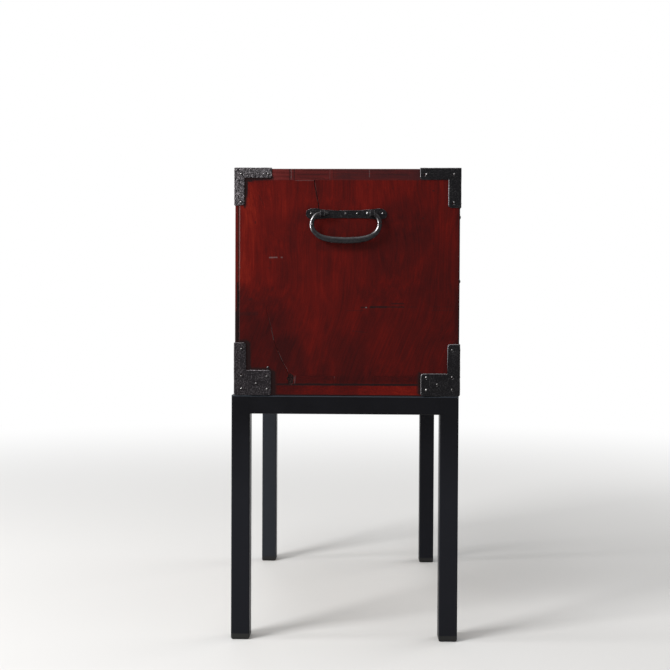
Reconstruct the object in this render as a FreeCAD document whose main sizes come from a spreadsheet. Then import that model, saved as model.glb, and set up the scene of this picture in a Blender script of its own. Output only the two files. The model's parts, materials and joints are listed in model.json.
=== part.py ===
import FreeCAD, Part
import math
import os
import re
import Sketcher

# A small three-drawer chest of lacquered boards with iron fittings, on a welded square-tube stand.
# Millimetres. +Z is up, the drawers face -Y, and the origin is on the floor under the middle of the
# whole object. "Left" is the -X end. The chest's left half is built and mirrored to the right.

SIZES = {
    # chest case
    "chest_width": 455.0,
    "chest_depth": 300.0,
    "chest_height": 303.0,
    "board_thickness": 15.0,
    "bottom_thickness": 12.0,
    "back_thickness": 4.5,
    "divider_thickness": 10.0,
    "divider_housing": 5.0,
    "plinth_height": 14.0,
    "plinth_width": 15.0,
    "finger_width": 52.0,
    "top_finger_start": 70.0,
    "bottom_finger_start": 76.8,
    # drawers
    "drawer_side_gap": 0.8,
    "drawer_top_gap": 1.5,
    "runner_gap": 0.3,
    "drawer_back_gap": 5.0,
    "front_recess": 1.0,
    "front_thickness": 15.0,
    "drawer_side_thickness": 9.0,
    "drawer_back_thickness": 9.0,
    "drawer_bottom_thickness": 6.0,
    "drawer_lap": 8.0,
    # iron corner fittings and nails
    "plate_thickness": 1.5,
    "top_arm_width": 14.0,
    "top_arm_length": 51.0,
    "bottom_arm_width": 15.5,
    "bottom_arm_height": 70.3,
    "bottom_block_length": 50.5,
    "bottom_block_height": 32.0,
    "bottom_edge_width": 14.0,
    "bottom_edge_height": 24.0,
    "plate_corner": 4.0,
    "plate_bend": 1.2,
    "plate_toe": 3.2,
    "edge_lift": 3.5,
    "nail_radius": 0.9,
    "nail_depth": 5.0,
    "nail_head_radius": 1.95,
    "nail_head_height": 1.1,
    "nail_clearance": 0.05,
    # carrying handles
    "handle_drop": 60.0,
    "handle_plate_length": 108.0,
    "handle_plate_height": 10.8,
    "handle_lobe_radius": 7.3,
    "handle_post_offset": 33.0,
    "handle_eye_reach": 6.2,
    "handle_eye_radius": 4.6,
    "handle_eye_width": 6.0,
    "handle_collar_radius": 3.9,
    "handle_collar_height": 2.6,
    "handle_stem_radius": 2.6,
    "handle_stem_margin": 1.0,
    "handle_bail_radius": 3.6,
    "handle_pin_radius": 2.2,
    "handle_half_width": 45.6,
    "handle_reach": 36.2,
    "handle_shoulder_in": 3.3,
    "handle_waist_drop": 14.0,
    "handle_hip_in": 5.3,
    "handle_hip_drop": 31.0,
    # drawer pulls
    "pull_offset": 114.0,
    "pull_post_offset": 26.0,
    "pull_rosette_radius": 7.5,
    "pull_rosette_thickness": 1.0,
    "pull_eye_reach": 5.6,
    "pull_eye_radius": 4.0,
    "pull_eye_width": 5.0,
    "pull_collar_radius": 3.4,
    "pull_collar_height": 2.4,
    "pull_stem_radius": 2.2,
    "pull_rove_radius": 4.5,
    "pull_rove_thickness": 1.2,
    "pull_bail_radius": 2.7,
    "pull_pin_radius": 1.9,
    "pull_half_width": 35.0,
    "pull_reach": 26.0,
    "pull_shoulder_in": 2.0,
    "pull_waist_drop": 9.0,
    "pull_hip_in": 4.0,
    "pull_hip_drop": 22.0,
    "pin_clearance": 0.06,
    "pin_tail": 2.6,
    "shoulder_gap": 0.4,
    # lock plates
    "lock_radius": 21.0,
    "lock_thickness": 1.2,
    "keyhole_radius": 2.6,
    "keyhole_slot_width": 2.6,
    "keyhole_slot_length": 8.5,
    "keyhole_depth": 7.0,
    # stand
    "stand_height": 330.0,
    "stand_back_margin": 4.5,
    "tube_size": 25.0,
    "tube_wall": 1.5,
    "tube_corner": 2.0,
    "glide_height": 8.0,
    "glide_round": 2.7,
    "glide_plug_height": 12.0,
    "glide_plug_gap": 0.2,
    "screw_offset": 150.0,
    "screw_radius": 2.0,
    "screw_length": 13.0,
    "screw_head_radius": 4.0,
    "screw_head_height": 2.4,
    "screw_clearance": 0.05,
    "screw_access_radius": 5.5,
}

PLACES = {
    "front_reach": "pull_rosette_thickness + pull_eye_reach + pull_eye_radius - front_recess",
    "back_reach": "max(plate_thickness + nail_head_height; stand_back_margin)",
    "case_front": "(front_reach - back_reach - chest_depth) / 2",
    "case_back": "case_front + chest_depth",
    "case_middle": "case_front + chest_depth / 2",
    "board_depth": "chest_depth - back_thickness",
    "inner_width": "chest_width - 2 * board_thickness",
    "case_bottom": "stand_height",
    "case_top": "stand_height + chest_height",
    "floor_level": "case_bottom + plinth_height",
    "tier_base": "floor_level + bottom_thickness",
    "top_underside": "case_top - board_thickness",
    "tier_height": "(top_underside - tier_base - 2 * divider_thickness) / 3",
    "tier_pitch": "tier_height + divider_thickness",
    "drawer_width": "inner_width - 2 * drawer_side_gap",
    "drawer_height": "tier_height - runner_gap - drawer_top_gap",
    "drawer_front": "case_front + front_recess",
    "drawer_length": "board_depth - front_recess - drawer_back_gap",
    "handle_height": "case_top - handle_drop",
    "stand_depth": "chest_depth + stand_back_margin",
    "rail_level": "stand_height - tube_size",
}

TIERS = ("bottom", "middle", "top")
ALONG_X = FreeCAD.Rotation(FreeCAD.Vector(0, 1, 0), 90)
ALONG_Y = FreeCAD.Rotation(FreeCAD.Vector(1, 0, 0), -90)
# A sketch's rectangles are drawn this wide, and their constraints then give them their real size.
START_SIZE = 10.0
# An edge counts as being at a place when it is nearer to it than this.
NEAR = 0.01

doc = FreeCAD.newDocument("small_chest")
sheet = doc.addObject("Spreadsheet::Sheet", "Sizes")
places = doc.addObject("App::VarSet", "Places")
node_names = []


# ---------------------------------------------------------------- helpers

def link(formula):
    """Turn the plain words of a formula into references to the sheet and the worked-out places."""
    def reference(match):
        word = match.group(0)
        if word in SIZES:
            return "Sizes." + word
        if word in PLACES:
            return "Places." + word
        return word
    return re.sub(r"[a-z][a-z_]*", reference, str(formula))


def size(word):
    """Read one driving dimension from the sheet."""
    return float(sheet.get(word))


def place(word):
    """Read one worked-out place."""
    return float(getattr(places, word))


def fill_sheet():
    for row, (word, number) in enumerate(SIZES.items(), start=1):
        sheet.set("A%d" % row, word)
        sheet.set("B%d" % row, str(number))
        sheet.setAlias("B%d" % row, word)
    doc.recompute()
    for word, formula in PLACES.items():
        places.addProperty("App::PropertyFloat", word)
        places.setExpression(word, link(formula))
    doc.recompute()


def bind(item, sizes):
    for key, formula in sizes.items():
        item.setExpression(key, link(formula))


def locate(item, spot, turn=None):
    """Put an item at a place given by three formulas."""
    if turn is not None:
        item.Placement = FreeCAD.Placement(FreeCAD.Vector(), turn)
    for axis, formula in zip("xyz", spot):
        item.setExpression("Placement.Base." + axis, link(formula))


def node(item, label):
    """Make an item a sub-part of the chest under its own label."""
    item.Label = label
    node_names.append(item.Name)
    return item


def box(name, lengths, spot):
    item = doc.addObject("Part::Box", name)
    bind(item, dict(zip(("Length", "Width", "Height"), lengths)))
    locate(item, spot)
    return item


def rod(name, radius, length, spot, turn=None):
    item = doc.addObject("Part::Cylinder", name)
    bind(item, {"Radius": radius, "Height": length})
    locate(item, spot, turn)
    return item


def fuse(name, items):
    item = doc.addObject("Part::MultiFuse", name)
    item.Shapes = items
    item.Refine = True
    return item


def group(name, items):
    item = doc.addObject("Part::Compound", name)
    item.Links = items
    return item


def cut(name, base, tools):
    item = doc.addObject("Part::Cut", name)
    item.Base = base
    item.Tool = tools[0] if len(tools) == 1 else group(name + "_tools", tools)
    return item


def mirror(name, source, normal):
    """Mirror a piece through the middle of the chest, across X or across Y."""
    item = doc.addObject("Part::Mirroring", name)
    item.Source = source
    item.Normal = FreeCAD.Vector(*normal)
    if normal[1]:
        item.setExpression("Base.y", link("case_middle"))
    return item


def solid_feature(name, shape):
    item = doc.addObject("Part::Feature", name)
    item.Shape = shape
    item.Placement = FreeCAD.Placement()
    return item


def origin_plane(body, role):
    return next(plane for plane in body.Origin.OriginFeatures if plane.Role == role)


def sketch_on(body, name, role, lift=None):
    """Start a sketch on one of the body's own origin planes, lifted along its normal if asked."""
    sketch = body.newObject("Sketcher::SketchObject", name)
    sketch.AttachmentSupport = (origin_plane(body, role), [""])
    sketch.MapMode = "FlatFace"
    if lift is not None:
        sketch.setExpression("AttachmentOffset.Base.z", link(lift))
    return sketch


def centred_rectangle(sketch, width, height, tag):
    """Draw a rectangle whose middle is the sketch's origin and whose sides are bound."""
    half = START_SIZE / 2
    signs = ((-1, -1), (1, -1), (1, 1), (-1, 1))
    corners = [FreeCAD.Vector(x * half, y * half, 0) for x, y in signs]
    first = sketch.GeometryCount
    for index in range(4):
        sketch.addGeometry(Part.LineSegment(corners[index], corners[(index + 1) % 4]), False)
    for index in range(4):
        after = first + (index + 1) % 4
        sketch.addConstraint(Sketcher.Constraint("Coincident", first + index, 2, after, 1))
        side = "Horizontal" if index % 2 == 0 else "Vertical"
        sketch.addConstraint(Sketcher.Constraint(side, first + index))
    sketch.addConstraint(Sketcher.Constraint("Symmetric", first, 1, first + 2, 1, -1, 1))
    for kind, line, formula in (("DistanceX", first, width), ("DistanceY", first + 1, height)):
        number = sketch.addConstraint(Sketcher.Constraint(kind, line, 1, line, 2, START_SIZE))
        sketch.renameConstraint(number, tag + kind)
        sketch.setExpression("Constraints." + tag + kind, link(formula))


def pad(body, name, sketch, length):
    item = body.newObject("PartDesign::Pad", name)
    item.Profile = sketch
    bind(item, {"Length": length})
    return item


def block(body, name, lengths, spot):
    """Add a bound box to a body."""
    item = body.newObject("PartDesign::AdditiveBox", name)
    bind(item, dict(zip(("Length", "Width", "Height"), lengths)))
    locate(item, spot)
    return item


def edges_at(shape, spots):
    """Name the edges whose middles lie at the given points."""
    names = []
    for number, edge in enumerate(shape.Edges, start=1):
        middle = edge.valueAt((edge.FirstParameter + edge.LastParameter) / 2)
        if any((middle - FreeCAD.Vector(*spot)).Length < NEAR for spot in spots):
            names.append("Edge%d" % number)
    return names


def round_edges(body, name, feature, names, radius):
    item = body.newObject("PartDesign::Fillet", name)
    item.Base = (feature, names)
    bind(item, {"Radius": radius})
    return item


# ---------------------------------------------------------------- chest case

def finger_spots(start):
    """Give where the two tongues of a board begin, measured from the back of the case boards."""
    back = "case_back - back_thickness"
    return [
        "%s - %s - finger_width" % (back, start),
        "%s - %s - 3 * finger_width" % (back, start),
    ]


def tongued_board(name, thickness, level, start, holes):
    """A top or bottom board whose two tongues at each end show in the chest's ends."""
    core = box(
        name + "_core",
        ("inner_width", "board_depth", thickness),
        ("-inner_width / 2", "case_front", level),
    )
    tongues = [
        box(
            "%s_tongue_%d" % (name, number),
            ("chest_width", "finger_width", thickness),
            ("-chest_width / 2", spot, level),
        )
        for number, spot in enumerate(finger_spots(start))
    ]
    return node(cut(name, fuse(name + "_whole", [core] + tongues), holes), name)


def divider_level(tier):
    """Give the underside of the divider that covers a tier."""
    return "tier_base + %d * tier_pitch + tier_height" % tier


def side_board_blank(nail_holes, stem_holes):
    """An upright end board, notched for the tongues and grooved for the dividers."""
    whole = box(
        "left_side_whole",
        ("board_thickness", "board_depth", "case_top - floor_level"),
        ("-chest_width / 2", "case_front", "floor_level"),
    )
    notches = [
        box(
            "left_side_%s_notch_%d" % (where, number),
            ("board_thickness", "finger_width", thickness),
            ("-chest_width / 2", spot, level),
        )
        for where, thickness, level, start in (
            ("top", "board_thickness", "top_underside", "top_finger_start"),
            ("bottom", "bottom_thickness", "floor_level", "bottom_finger_start"),
        )
        for number, spot in enumerate(finger_spots(start))
    ]
    grooves = [
        box(
            "left_side_groove_%d" % tier,
            ("divider_housing", "board_depth", "divider_thickness"),
            ("-inner_width / 2 - divider_housing", "case_front", divider_level(tier)),
        )
        for tier in (0, 1)
    ]
    return cut("left_side_blank", whole, notches + grooves + [nail_holes, stem_holes])


def back_board(name, level, height, holes):
    whole = box(
        name + "_whole",
        ("chest_width", "back_thickness", height),
        ("-chest_width / 2", "case_back - back_thickness", level),
    )
    return node(cut(name, whole, [holes]), name)


def plinth_rail(name, lengths, spot, holes):
    return node(cut(name, box(name + "_whole", lengths, spot), holes), name)


def build_case(nail_holes, stray_hole, stem_holes, screw_holes):
    tongued_board("top_board", "board_thickness", "top_underside", "top_finger_start", [nail_holes])
    tongued_board("bottom_board", "bottom_thickness", "floor_level", "bottom_finger_start", [nail_holes])
    blank = side_board_blank(nail_holes, stem_holes)
    node(cut("left_side_board", blank, [stray_hole]), "left_side_board")
    node(mirror("right_side_board", blank, (1, 0, 0)), "right_side_board")
    for tier, name in ((0, "lower_divider"), (1, "upper_divider")):
        node(box(
            name,
            ("inner_width + 2 * divider_housing", "board_depth", "divider_thickness"),
            ("-inner_width / 2 - divider_housing", "case_front", divider_level(tier)),
        ), name)
    back_board("back_board_lower", "case_bottom", "chest_height / 2", nail_holes)
    back_board("back_board_upper", "case_bottom + chest_height / 2", "chest_height / 2", nail_holes)
    left_rail = plinth_rail(
        "plinth_left",
        ("plinth_width", "board_depth", "plinth_height"),
        ("-chest_width / 2", "case_front", "case_bottom"),
        [nail_holes],
    )
    node(mirror("plinth_right", left_rail, (1, 0, 0)), "plinth_right")
    for name, spot in (
        ("plinth_front", "case_front"),
        ("plinth_back", "case_back - back_thickness - plinth_width"),
    ):
        plinth_rail(
            name,
            ("chest_width - 2 * plinth_width", "plinth_width", "plinth_height"),
            ("plinth_width - chest_width / 2", spot, "case_bottom"),
            [nail_holes, screw_holes],
        )


# ---------------------------------------------------------------- corner fittings and nails

def corner_body(name, level):
    """Start a fitting whose own origin is the left front corner of the chest's wood."""
    body = doc.addObject("PartDesign::Body", name)
    locate(body, ("-chest_width / 2", "case_front", level))
    return body


def top_fitting(body):
    """Three L-shaped plates folded round a top corner: on the end, on the front and on the top."""
    wide = "top_arm_width + plate_thickness"
    long = "top_arm_length + plate_thickness"
    thin = "plate_thickness"
    back = "-plate_thickness"
    arms = (
        ((thin, wide, long), (back, back, "-top_arm_length")),
        ((thin, long, wide), (back, back, "-top_arm_width")),
        ((wide, thin, long), (back, back, "-top_arm_length")),
        ((long, thin, wide), (back, back, "-top_arm_width")),
        ((wide, long, thin), (back, back, "0")),
        ((long, wide, thin), (back, back, "0")),
    )
    for number, (lengths, spot) in enumerate(arms):
        last = block(body, "top_arm_%d" % number, lengths, spot)
    doc.recompute()
    w, l, t = size("top_arm_width"), size("top_arm_length"), size("plate_thickness")
    ends = [(-t / 2, w, -l), (-t / 2, l, -w), (w, -t / 2, -l), (l, -t / 2, -w), (w, l, t / 2), (l, w, t / 2)]
    rounded = round_edges(body, "top_fitting_round", last, edges_at(last.Shape, ends), "plate_corner")
    doc.recompute()
    half = (l - t) / 2
    folds = [(-t, -t, -half), (half, -t, t), (-t, half, t)]
    round_edges(body, "top_fitting_folds", rounded, edges_at(rounded.Shape, folds), "plate_bend")


def bottom_fitting(body):
    """An upright arm and a foot block, folded round a bottom corner on the end and on the front."""
    thin = "plate_thickness"
    back = "-plate_thickness"
    arms = (
        ((thin, "bottom_arm_width + plate_thickness", "bottom_arm_height"), (back, back, "0")),
        ((thin, "bottom_block_length + plate_thickness", "bottom_block_height"), (back, back, "0")),
        (
            ("bottom_edge_width + plate_thickness", thin, "bottom_arm_height - edge_lift"),
            (back, back, "edge_lift"),
        ),
        (
            ("bottom_block_length + plate_thickness", thin, "bottom_edge_height - edge_lift"),
            (back, back, "edge_lift"),
        ),
    )
    for number, (lengths, spot) in enumerate(arms):
        last = block(body, "bottom_arm_%d" % number, lengths, spot)
    doc.recompute()
    t, tall, long = size("plate_thickness"), size("bottom_arm_height"), size("bottom_block_length")
    ends = [
        (-t / 2, size("bottom_arm_width"), tall),
        (-t / 2, long, size("bottom_block_height")),
        (-t / 2, long, 0),
        (size("bottom_edge_width"), -t / 2, tall),
        (long, -t / 2, size("bottom_edge_height")),
    ]
    rounded = round_edges(body, "bottom_fitting_round", last, edges_at(last.Shape, ends), "plate_corner")
    doc.recompute()
    toe = [(-t / 2, -t, 0)]
    footed = round_edges(body, "bottom_fitting_toe", rounded, edges_at(rounded.Shape, toe), "plate_toe")
    doc.recompute()
    fold = [(-t, -t, (tall + size("plate_toe")) / 2)]
    round_edges(body, "bottom_fitting_fold", footed, edges_at(footed.Shape, fold), "plate_bend")


def build_fittings(nail_holes):
    """Make one top and one bottom fitting and mirror them to the other corners."""
    for level, place_word, make in (
        ("top", "case_top", top_fitting),
        ("bottom", "case_bottom", bottom_fitting),
    ):
        body = corner_body(level + "_fitting_blank", place_word)
        make(body)
        front = cut(level + "_fitting_left_front", body, [nail_holes])
        node(front, level + "_fitting_left_front")
        back = node(mirror(level + "_fitting_left_back", front, (0, 1, 0)), level + "_fitting_left_back")
        node(mirror(level + "_fitting_right_front", front, (1, 0, 0)), level + "_fitting_right_front")
        node(mirror(level + "_fitting_right_back", back, (1, 0, 0)), level + "_fitting_right_back")


# Nails of one fitting, as steps along the plate and away from its bend. Each face's list holds
# (in from the upright edge, in from the chest's top or bottom).
TOP_NAILS = ((8.0, 7.6), (44.6, 7.6), (8.0, 45.0))
BOTTOM_END_NAILS = ((9.2, 61.6), (9.2, 25.6), (9.4, 8.9), (43.6, 25.2), (43.6, 8.4), (29.0, 15.8))
BOTTOM_EDGE_NAILS = ((7.5, 61.6), (7.5, 25.6), (7.5, 8.9), (43.6, 8.9))
# Nails of a handle's plate, along it from its middle, from back to front.
HANDLE_NAILS = (-48.4, -2.2, 13.3, 47.2)
# One more nail, driven into the bare wood of the left end beside its bottom back fitting.
STRAY_NAIL = (44.3, 37.0)


def nail_sites():
    """Give every nail of the case as a point on its plate's outer face and the way its head faces."""
    half, plate = size("chest_width") / 2, size("plate_thickness")
    sites = []
    for x_way in (-1, 1):
        for face, y_way in ((place("case_front"), -1), (place("case_back"), 1)):
            def spot(x_in, y_in, height):
                return FreeCAD.Vector(x_way * (half - x_in), face - y_way * y_in, height)
            for u, v in TOP_NAILS:
                sites.append((spot(-plate, u, place("case_top") - v), (x_way, 0, 0)))
                sites.append((spot(u, -plate, place("case_top") - v), (0, y_way, 0)))
                sites.append((spot(u, v, place("case_top") + plate), (0, 0, 1)))
            for u, v in BOTTOM_END_NAILS:
                sites.append((spot(-plate, u, place("case_bottom") + v), (x_way, 0, 0)))
            for u, v in BOTTOM_EDGE_NAILS:
                sites.append((spot(u, -plate, place("case_bottom") + v), (0, y_way, 0)))
        for along in HANDLE_NAILS:
            across = place("case_middle") - along
            point = FreeCAD.Vector(x_way * (half + plate), across, place("handle_height"))
            sites.append((point, (x_way, 0, 0)))
    return sites


def stray_site():
    stray_in, stray_up = STRAY_NAIL
    half = size("chest_width") / 2
    point = FreeCAD.Vector(-half, place("case_back") - stray_in, place("case_bottom") + stray_up)
    return (point, (-1, 0, 0))


def nail_shape():
    """A nail with a domed head, its underside at the origin and its shank down -Z."""
    rim, rise = size("nail_head_radius"), size("nail_head_height")
    ball_radius = (rim ** 2 + rise ** 2) / (2 * rise)
    ball = Part.makeSphere(ball_radius, FreeCAD.Vector(0, 0, rise - ball_radius))
    slab = Part.makeCylinder(rim, rise)
    length = size("plate_thickness") + size("nail_depth")
    shank = Part.makeCylinder(size("nail_radius"), length, FreeCAD.Vector(0, 0, -length))
    return ball.common(slab).fuse(shank).removeSplitter()


def spread(shape, sites):
    """Copy a shape to every site, its +Z turned to the way the site faces."""
    copies = []
    for point, way in sites:
        copy = shape.copy()
        turn = FreeCAD.Rotation(FreeCAD.Vector(0, 0, 1), FreeCAD.Vector(*way))
        copy.Placement = FreeCAD.Placement(point, turn)
        copies.append(copy)
    return Part.makeCompound(copies)


def build_nails():
    """Make the nails' node and give back the holes for the paired nails and for the stray one."""
    sites, stray = nail_sites(), stray_site()
    node(solid_feature("iron_nails", spread(nail_shape(), sites + [stray])), "iron_nails")
    length = size("plate_thickness") + size("nail_depth") + size("nail_clearance")
    radius = size("nail_radius") + size("nail_clearance")
    hole = Part.makeCylinder(radius, length, FreeCAD.Vector(0, 0, -length))
    paired = solid_feature("nail_holes", spread(hole, sites))
    return paired, solid_feature("stray_nail_hole", spread(hole, [stray]))


# ---------------------------------------------------------------- bails, eyes and posts

def rounded_path(corners):
    """Join points by straight runs and tangent arcs. Each corner is (point, radius)."""
    points = [corner[0] for corner in corners]
    edges, start = [], points[0]
    for index in range(1, len(corners) - 1):
        corner, radius = corners[index]
        back = (points[index - 1] - corner).normalize()
        ahead = (points[index + 1] - corner).normalize()
        half_angle = back.getAngle(ahead) / 2
        reach = radius / math.tan(half_angle)
        middle = (back + ahead).normalize()
        centre = corner + middle * (radius / math.sin(half_angle))
        enter, leave = corner + back * reach, corner + ahead * reach
        edges.append(Part.LineSegment(start, enter).toShape())
        edges.append(Part.Arc(enter, centre - middle * radius, leave).toShape())
        start = leave
    edges.append(Part.LineSegment(start, points[-1]).toShape())
    return Part.Wire(edges)


# How large the bends of a bail are: its shoulder's as a share of the pin's run up to it, and the
# others as shares of the bail's reach.
SHOULDER_BEND, WAIST_BEND, HIP_BEND, FOOT_BEND = 0.85, 0.55, 0.4, 4.0
# A bore's cutting cylinder stands out of the piece by this much at each end.
BORE_OVERRUN = 1.0


def bail_shape(kind):
    """A swinging bail in the XZ plane that hangs from its own X axis by two inward pins."""
    half, reach = size(kind + "_half_width"), size(kind + "_reach")
    eye_face = size(kind + "_post_offset") + size(kind + "_eye_width") / 2
    start = eye_face + size("shoulder_gap")
    shoulder = half - size(kind + "_shoulder_in")
    hip = half - size(kind + "_hip_in")
    waist_drop, hip_drop = size(kind + "_waist_drop"), size(kind + "_hip_drop")
    right = [
        (FreeCAD.Vector(start, 0, 0), 0),
        (FreeCAD.Vector(shoulder, 0, 0), SHOULDER_BEND * (shoulder - start)),
        (FreeCAD.Vector(half, 0, -waist_drop), WAIST_BEND * reach),
        (FreeCAD.Vector(hip, 0, -hip_drop), HIP_BEND * reach),
    ]
    left = [(FreeCAD.Vector(-point.x, 0, point.z), radius) for point, radius in reversed(right)]
    path = rounded_path(right + [(FreeCAD.Vector(0, 0, -reach), FOOT_BEND * reach)] + left)
    ring = Part.makeCircle(size(kind + "_bail_radius"), FreeCAD.Vector(start, 0, 0), FreeCAD.Vector(1, 0, 0))
    bar = path.makePipeShell([Part.Wire(ring)], True, False)
    tip = size(kind + "_post_offset") - size(kind + "_eye_width") / 2 - size("pin_tail")
    outward = FreeCAD.Vector(1, 0, 0)
    pins = [
        Part.makeCylinder(size(kind + "_pin_radius"), start - tip, outward * way * tip, outward * way)
        for way in (-1, 1)
    ]
    return bar.multiFuse(pins).removeSplitter()


def post_shape(kind, stem_length, rove=False):
    """An eye post: its eye's axis is X through the origin, and its stem runs to +Y."""
    reach, width = size(kind + "_eye_reach"), size(kind + "_eye_width")
    across, inward = FreeCAD.Vector(1, 0, 0), FreeCAD.Vector(0, 1, 0)
    eye = Part.makeCylinder(size(kind + "_eye_radius"), width, FreeCAD.Vector(-width / 2, 0, 0), across)
    collar = Part.makeCylinder(
        size(kind + "_collar_radius"),
        size(kind + "_collar_height"),
        FreeCAD.Vector(0, reach - size(kind + "_collar_height"), 0),
        inward,
    )
    stem = Part.makeCylinder(size(kind + "_stem_radius"), reach + stem_length, FreeCAD.Vector(), inward)
    pieces = [collar, stem]
    if rove:
        pieces.append(Part.makeCylinder(
            size("pull_rove_radius"), size("pull_rove_thickness"),
            FreeCAD.Vector(0, reach + stem_length, 0), inward,
        ))
    bore_radius = size(kind + "_pin_radius") + size("pin_clearance")
    bore_start = FreeCAD.Vector(-width / 2 - BORE_OVERRUN, 0, 0)
    bore = Part.makeCylinder(bore_radius, width + 2 * BORE_OVERRUN, bore_start, across)
    return eye.multiFuse(pieces).cut(bore).removeSplitter()


def placed(shape, point, turn=None):
    copy = shape.copy()
    copy.Placement = FreeCAD.Placement(FreeCAD.Vector(*point), turn or FreeCAD.Rotation())
    return copy


# ---------------------------------------------------------------- carrying handles

def handle_stem_holes():
    """Bores for the two stems of the left handle, through its plate and the end board."""
    length = "board_thickness + 2 * plate_thickness"
    start = "-chest_width / 2 - 2 * plate_thickness"
    return group("handle_stem_holes", [
        rod(
            "handle_stem_hole_" + side,
            "handle_stem_radius + nail_clearance",
            length,
            (start, "case_middle %s handle_post_offset" % sign, "handle_height"),
            ALONG_X,
        )
        for side, sign in (("front", "-"), ("back", "+"))
    ])


def build_handle_plates(nail_holes, stem_holes):
    """A flat bar with a round lobe at each end."""
    body = doc.addObject("PartDesign::Body", "handle_plate_blank")
    locate(body, ("-chest_width / 2 - plate_thickness", "case_middle", "handle_height"))
    straight = "handle_plate_length - 2 * handle_lobe_radius"
    block(
        body,
        "handle_plate_bar",
        ("plate_thickness", straight, "handle_plate_height"),
        ("0", "-(%s) / 2" % straight, "-handle_plate_height / 2"),
    )
    for side, sign in (("front", "-"), ("back", "")):
        lobe = body.newObject("PartDesign::AdditiveCylinder", "handle_plate_lobe_" + side)
        bind(lobe, {"Radius": "handle_lobe_radius", "Height": "plate_thickness"})
        locate(lobe, ("0", "%s(%s) / 2" % (sign, straight), "0"), ALONG_X)
    left = node(cut("left_handle_plate", body, [nail_holes, stem_holes]), "left_handle_plate")
    node(mirror("right_handle_plate", left, (1, 0, 0)), "right_handle_plate")


def build_handles():
    """Hang a bail from two eye posts at each end of the chest."""
    turn = FreeCAD.Rotation(FreeCAD.Vector(0, 0, 1), -90)
    axis_x = -size("chest_width") / 2 - size("plate_thickness") - size("handle_eye_reach")
    stem_length = size("plate_thickness") + size("board_thickness") - size("handle_stem_margin")
    stem = post_shape("handle", stem_length)
    middle, level, offset = place("case_middle"), place("handle_height"), size("handle_post_offset")
    posts = [placed(stem, (axis_x, middle + way * offset, level), turn) for way in (-1, 1)]
    left_posts = node(solid_feature("left_handle_posts", Part.makeCompound(posts)), "left_handle_posts")
    node(mirror("right_handle_posts", left_posts, (1, 0, 0)), "right_handle_posts")
    left_bail = solid_feature("left_handle_bail", bail_shape("handle"))
    left_bail.Placement = FreeCAD.Placement(FreeCAD.Vector(axis_x, middle, level), turn)
    node(left_bail, "left_handle_bail")
    node(mirror("right_handle_bail", left_bail, (1, 0, 0)), "right_handle_bail")


# ---------------------------------------------------------------- drawers

def drawer_level(tier):
    """Give the underside of the drawer in a tier."""
    return "tier_base + %d * tier_pitch + runner_gap" % tier


def drawer_front(name, level):
    """A front board, rebated for its sides and bored for the posts and the lock."""
    whole = box(
        name + "_whole",
        ("drawer_width", "front_thickness", "drawer_height"),
        ("-drawer_width / 2", "drawer_front", level),
    )
    lap_back = "drawer_front + front_thickness - drawer_lap"
    tall = "drawer_height - drawer_bottom_thickness"
    above = level + " + drawer_bottom_thickness"
    rebates = [
        box(
            "%s_rebate_%s" % (name, side),
            ("drawer_side_thickness", "drawer_lap", tall),
            (edge, lap_back, above),
        )
        for side, edge in (
            ("left", "-drawer_width / 2"),
            ("right", "drawer_width / 2 - drawer_side_thickness"),
        )
    ]
    middle = level + " + drawer_height / 2"
    bores = [
        rod(
            "%s_bore_%d" % (name, number),
            "pull_stem_radius + nail_clearance",
            "front_thickness",
            ("%s pull_offset %s pull_post_offset" % signs, "drawer_front", middle),
            ALONG_Y,
        )
        for number, signs in enumerate((("-", "-"), ("-", "+"), ("", "-"), ("", "+")))
    ]
    keyway = rod(name + "_keyway", "keyhole_radius", "keyhole_depth", ("0", "drawer_front", middle), ALONG_Y)
    return node(cut(name, whole, rebates + bores + [keyway]), name)


def drawer_box(name, level):
    """The sides, back and bottom behind a drawer front."""
    inner_back = "drawer_front + drawer_length"
    above = level + " + drawer_bottom_thickness"
    tall = "drawer_height - drawer_bottom_thickness"
    side_start = "drawer_front + front_thickness - drawer_lap"
    for side, edge in (
        ("left", "-drawer_width / 2"),
        ("right", "drawer_width / 2 - drawer_side_thickness"),
    ):
        label = "%s_drawer_%s_side" % (name, side)
        node(box(
            label,
            ("drawer_side_thickness", "drawer_length - front_thickness + drawer_lap", tall),
            (edge, side_start, above),
        ), label)
    node(box(
        name + "_drawer_back",
        ("drawer_width - 2 * drawer_side_thickness", "drawer_back_thickness", tall),
        ("drawer_side_thickness - drawer_width / 2", inner_back + " - drawer_back_thickness", above),
    ), name + "_drawer_back")
    node(box(
        name + "_drawer_bottom",
        ("drawer_width", "drawer_length - front_thickness", "drawer_bottom_thickness"),
        ("-drawer_width / 2", "drawer_front + front_thickness", level),
    ), name + "_drawer_bottom")


def lock_plate(name, level):
    """A round iron plate with a keyhole."""
    body = doc.addObject("PartDesign::Body", name)
    locate(body, ("0", "drawer_front", level + " + drawer_height / 2"))
    disc = body.newObject("PartDesign::AdditiveCylinder", name + "_disc")
    bind(disc, {"Radius": "lock_radius", "Height": "lock_thickness"})
    locate(disc, ("0", "-lock_thickness", "0"), ALONG_Y)
    hole = body.newObject("PartDesign::SubtractiveCylinder", name + "_keyhole")
    bind(hole, {"Radius": "keyhole_radius", "Height": "lock_thickness"})
    locate(hole, ("0", "-lock_thickness", "0"), ALONG_Y)
    slot = body.newObject("PartDesign::SubtractiveBox", name + "_slot")
    bind(slot, {"Length": "keyhole_slot_width", "Width": "lock_thickness", "Height": "keyhole_slot_length"})
    locate(slot, ("-keyhole_slot_width / 2", "-lock_thickness", "-keyhole_slot_length"))
    return node(body, name)


def rosette_shape():
    thickness = size("pull_rosette_thickness")
    outer = Part.makeCylinder(size("pull_rosette_radius"), thickness)
    return outer.cut(Part.makeCylinder(size("pull_stem_radius") + size("nail_clearance"), thickness))


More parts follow.
